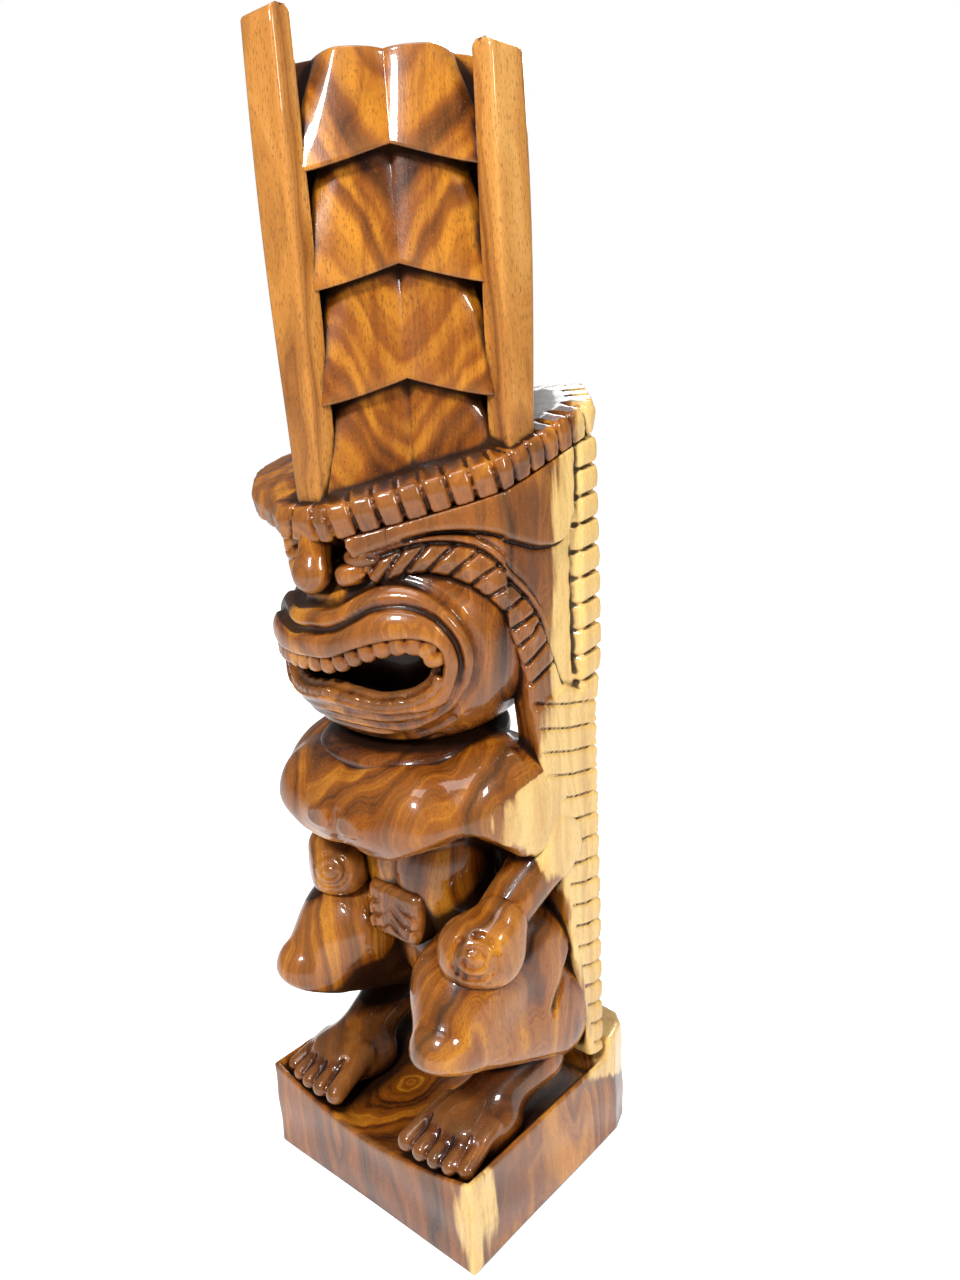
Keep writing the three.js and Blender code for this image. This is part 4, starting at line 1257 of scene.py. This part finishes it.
# bearing, half width, top, foot and reach from the axis
blade("front_blade", -90, 9.5, TOP, 325, 62.5)
blade("left_blade", 0, 10.0, 494, 340, 63.5)
blade("right_blade", 180, 10.0, 494, 340, 63.5)
blade("back_blade", 90, 9.5, 494, 352, 62.5)


# ---- shade for the hollows
# the coarse lattice that holds how full of wood each place is
SHADE_STEP, SHADE_LOW, SHADE_SIZE = 2.0, (-74.0, -74.0, -6.0), (75, 75, 262)


def shade():
    """Writes on every point how enclosed it is: above zero in hollows, below zero on edges."""
    step = SHADE_STEP
    low = np.array(SHADE_LOW)
    size = np.array(SHADE_SIZE)
    fill = np.zeros(size, np.float32)
    for ob, clay, mirror in pieces:
        d, start = clay.full()
        if mirror:
            d = d[::-1]
            start[0] = -(clay.low[0] + clay.step * (clay.size[0] - 1))
        axis = [low[i] + step * np.arange(size[i]) for i in range(3)]
        pick = [np.round((axis[i] - start[i]) / clay.step).astype(int) for i in range(3)]
        ok = [(p >= 0) & (p < d.shape[i]) for i, p in enumerate(pick)]
        sample = d[np.ix_(*[p[o] for p, o in zip(pick, ok)])]
        block = np.ix_(*[np.nonzero(o)[0] for o in ok])
        fill[block] = np.maximum(fill[block], np.clip(0.5 - sample / step, 0, 1))
    for ob in solids:
        corners = [tuple(p.vertices) for p in ob.data.polygons]
        tris = [c[:3] for c in corners] + [(c[0], c[2], c[3]) for c in corners if len(c) == 4]
        spots = (read_points(ob.data) / MM - low) / step
        grid = vdb.FloatGrid.createLevelSetFromPolygons(
            spots.astype(np.float32), triangles=np.array(tris, np.uint32), halfWidth=3.0)
        block = np.full(size, 3.0, np.float32)
        grid.copyToArray(block)
        fill = np.maximum(fill, np.clip(0.5 - block, 0, 1))
    # the floor counts as full of wood, so painted shade gathers at the foot of the base
    fill[:, :, : int(6 / step)] = 1.0
    near = blur(fill, 1)
    wide = blur(blur(near, 2), 3)
    for ob in [p[0] for p in pieces] + solids:
        mesh = ob.data
        co, normal = read_points(mesh) / MM, read_points(mesh, "normal")
        # painted shade: points closed in by wood, and dented points, go above zero and are stained dark;
        # open and standing-out points go below zero and are rubbed lighter
        tight = sample_grid(near, (co + normal * 1.5 - low) / step) - 0.28
        broad = sample_grid(wide, (co + normal * 3.5 - low) / step) - 0.36
        value = 0.9 * tight + 1.7 * broad + curvature(mesh, co, normal)
        piece = ob.name.split(".")[0]
        # the upward faces of the brow plate, and less so the top of the base, are made darker
        if piece in ("brow_plate", "base_block"):
            value += (0.5 if piece == "brow_plate" else 0.16) * step01(0.7, 0.92, normal[:, 2])
        # painted shade under the chest: the torso darkens towards the belly
        if piece == "torso":
            value += 0.16 * step01(184, 168, co[:, 2])
        # the whole neck is made darker
        if piece == "neck":
            value += 0.2
        # painted shade deep inside the mouth
        if piece == "head":
            bearing = np.degrees(np.arctan2(co[:, 0], HEAD_MID[1] - co[:, 1]))
            depth = head_radius(bearing, co[:, 2]) - np.hypot(co[:, 0], co[:, 1] - HEAD_MID[1])
            value += 0.8 * step01(5, 12, depth) * (co[:, 1] < -12)
        data = mesh.attributes.new("hollow", "FLOAT", "POINT")
        data.data.foreach_set("value", np.clip(value, -1, 1).astype(np.float32))


def blur(a, reach):
    for axis in range(3):
        total = a.copy()
        for k in range(1, reach + 1):
            total += np.roll(a, k, axis) + np.roll(a, -k, axis)
        a = total / (2 * reach + 1)
    return a


def sample_grid(grid, at):
    at = np.clip(at, 0, np.array(grid.shape) - 1.001)
    i = at.astype(int)
    f = at - i
    out = np.zeros(len(at), np.float32)
    for dx in (0, 1):
        for dy in (0, 1):
            for dz in (0, 1):
                w = abs(1 - dx - f[:, 0]) * abs(1 - dy - f[:, 1]) * abs(1 - dz - f[:, 2])
                out += w * grid[i[:, 0] + dx, i[:, 1] + dy, i[:, 2] + dz]
    return out


def curvature(mesh, co, normal):
    """Above zero where the surface is dented, from how far each point lies below its neighbours."""
    edges = np.empty(len(mesh.edges) * 2, np.int32)
    mesh.edges.foreach_get("vertices", edges)
    edges = edges.reshape(-1, 2)
    count = np.maximum(np.bincount(edges.ravel(), minlength=len(co)), 1)
    around = np.stack([neighbour_sum(edges, co[:, i]) / count for i in range(3)], 1)
    reach = np.linalg.norm(co[edges[:, 0]] - co[edges[:, 1]], axis=1).mean()
    dent = ((around - co) * normal).sum(1) / reach ** 2
    for k in range(2):
        dent = 0.5 * dent + 0.5 * neighbour_sum(edges, dent) / count
    return np.clip(dent * 2.4, -0.45, 0.7)


shade()


# ---- floor, light and camera
def glow(tree, socket, dim, bright):
    """Makes an input bright to look at and dim as a light on the figure."""
    seen = tree.nodes.new("ShaderNodeLightPath")
    level = tree.nodes.new("ShaderNodeMapRange")
    level.inputs["To Min"].default_value = dim
    level.inputs["To Max"].default_value = bright
    tree.links.new(seen.outputs["Is Camera Ray"], level.inputs["Value"])
    tree.links.new(level.outputs[0], socket)


def stage_floor():
    mesh = bpy.data.meshes.new("floor")
    mesh.from_pydata([(-6, -6, 0), (6, -6, 0), (6, 6, 0), (-6, 6, 0)], [], [(0, 1, 2, 3)])
    floor = bpy.data.objects.new("floor", mesh)
    bpy.context.scene.collection.objects.link(floor)
    mat = bpy.data.materials.new("pale_floor")
    mat.use_nodes = True
    shader = mat.node_tree.nodes["Principled BSDF"]
    shader.inputs["Base Color"].default_value = (0.93, 0.93, 0.93, 1)
    shader.inputs["Roughness"].default_value = 0.9
    shader.inputs["Emission Color"].default_value = (1, 1, 1, 1)
    glow(mat.node_tree, shader.inputs["Emission Strength"], 0.22, 0.86)
    mesh.materials.append(mat)


def lamp(name, place, target, size, power, tint=(1, 1, 1)):
    data = bpy.data.lights.new(name, "AREA")
    data.shape, data.size, data.size_y = "RECTANGLE", *size
    data.energy, data.color = power, tint
    ob = bpy.data.objects.new(name, data)
    ob.location = place
    ob.rotation_euler = (Vector(target) - Vector(place)).to_track_quat("-Z", "Y").to_euler()
    bpy.context.scene.collection.objects.link(ob)


stage_floor()
world = bpy.data.worlds.new("studio")
world.use_nodes = True
sky = world.node_tree.nodes["Background"]
glow(world.node_tree, sky.inputs[1], 0.17, 1.0)
sky.inputs[0].default_value = (1.0, 1.0, 1.0, 1)
bpy.context.scene.world = world
middle = (0, 0, 0.26)
# place, aim, width and height, watts
lamp("key", (0.30, -0.95, 1.15), middle, (0.20, 0.20), 17)
lamp("side", (1.20, 0.05, 0.95), middle, (0.20, 0.30), 7.5)
lamp("over", (0.1, -0.3, 1.5), middle, (0.6, 0.6), 6)
lamp("back", (-0.6, 1.1, 1.0), middle, (0.5, 0.5), 7)

view = bpy.context.scene.view_settings
view.view_transform = "Standard"
view.look = "None"
view.exposure = 0.0

CAMERA_PLACE = (0.3125, -0.3109, 0.3743)
CAMERA_AZIMUTH, CAMERA_DOWN, CAMERA_ROLL = 42.01, 14.47, -3.53
CAMERA_LENS, CAMERA_SENSOR = 27.784, 36.0  # millimetres
lens = bpy.data.cameras.new("camera")
lens.sensor_fit = "AUTO"
lens.sensor_width = CAMERA_SENSOR
lens.lens = CAMERA_LENS
lens.clip_start = 0.01
camera = bpy.data.objects.new("camera", lens)
bpy.context.scene.collection.objects.link(camera)
az, dip = math.radians(CAMERA_AZIMUTH), math.radians(CAMERA_DOWN)
back = Vector((math.sin(az) * math.cos(dip), -math.cos(az) * math.cos(dip), math.sin(dip)))
right = (-back).cross(Vector((0, 0, 1))).normalized()
up = right.cross(-back)
roll = math.radians(CAMERA_ROLL)
axis_x = right * math.cos(roll) + up * math.sin(roll)
axis_y = up * math.cos(roll) - right * math.sin(roll)
pose = Matrix((axis_x, axis_y, back)).transposed().to_4x4()
pose.translation = Vector(CAMERA_PLACE)
camera.matrix_world = pose
bpy.context.scene.camera = camera
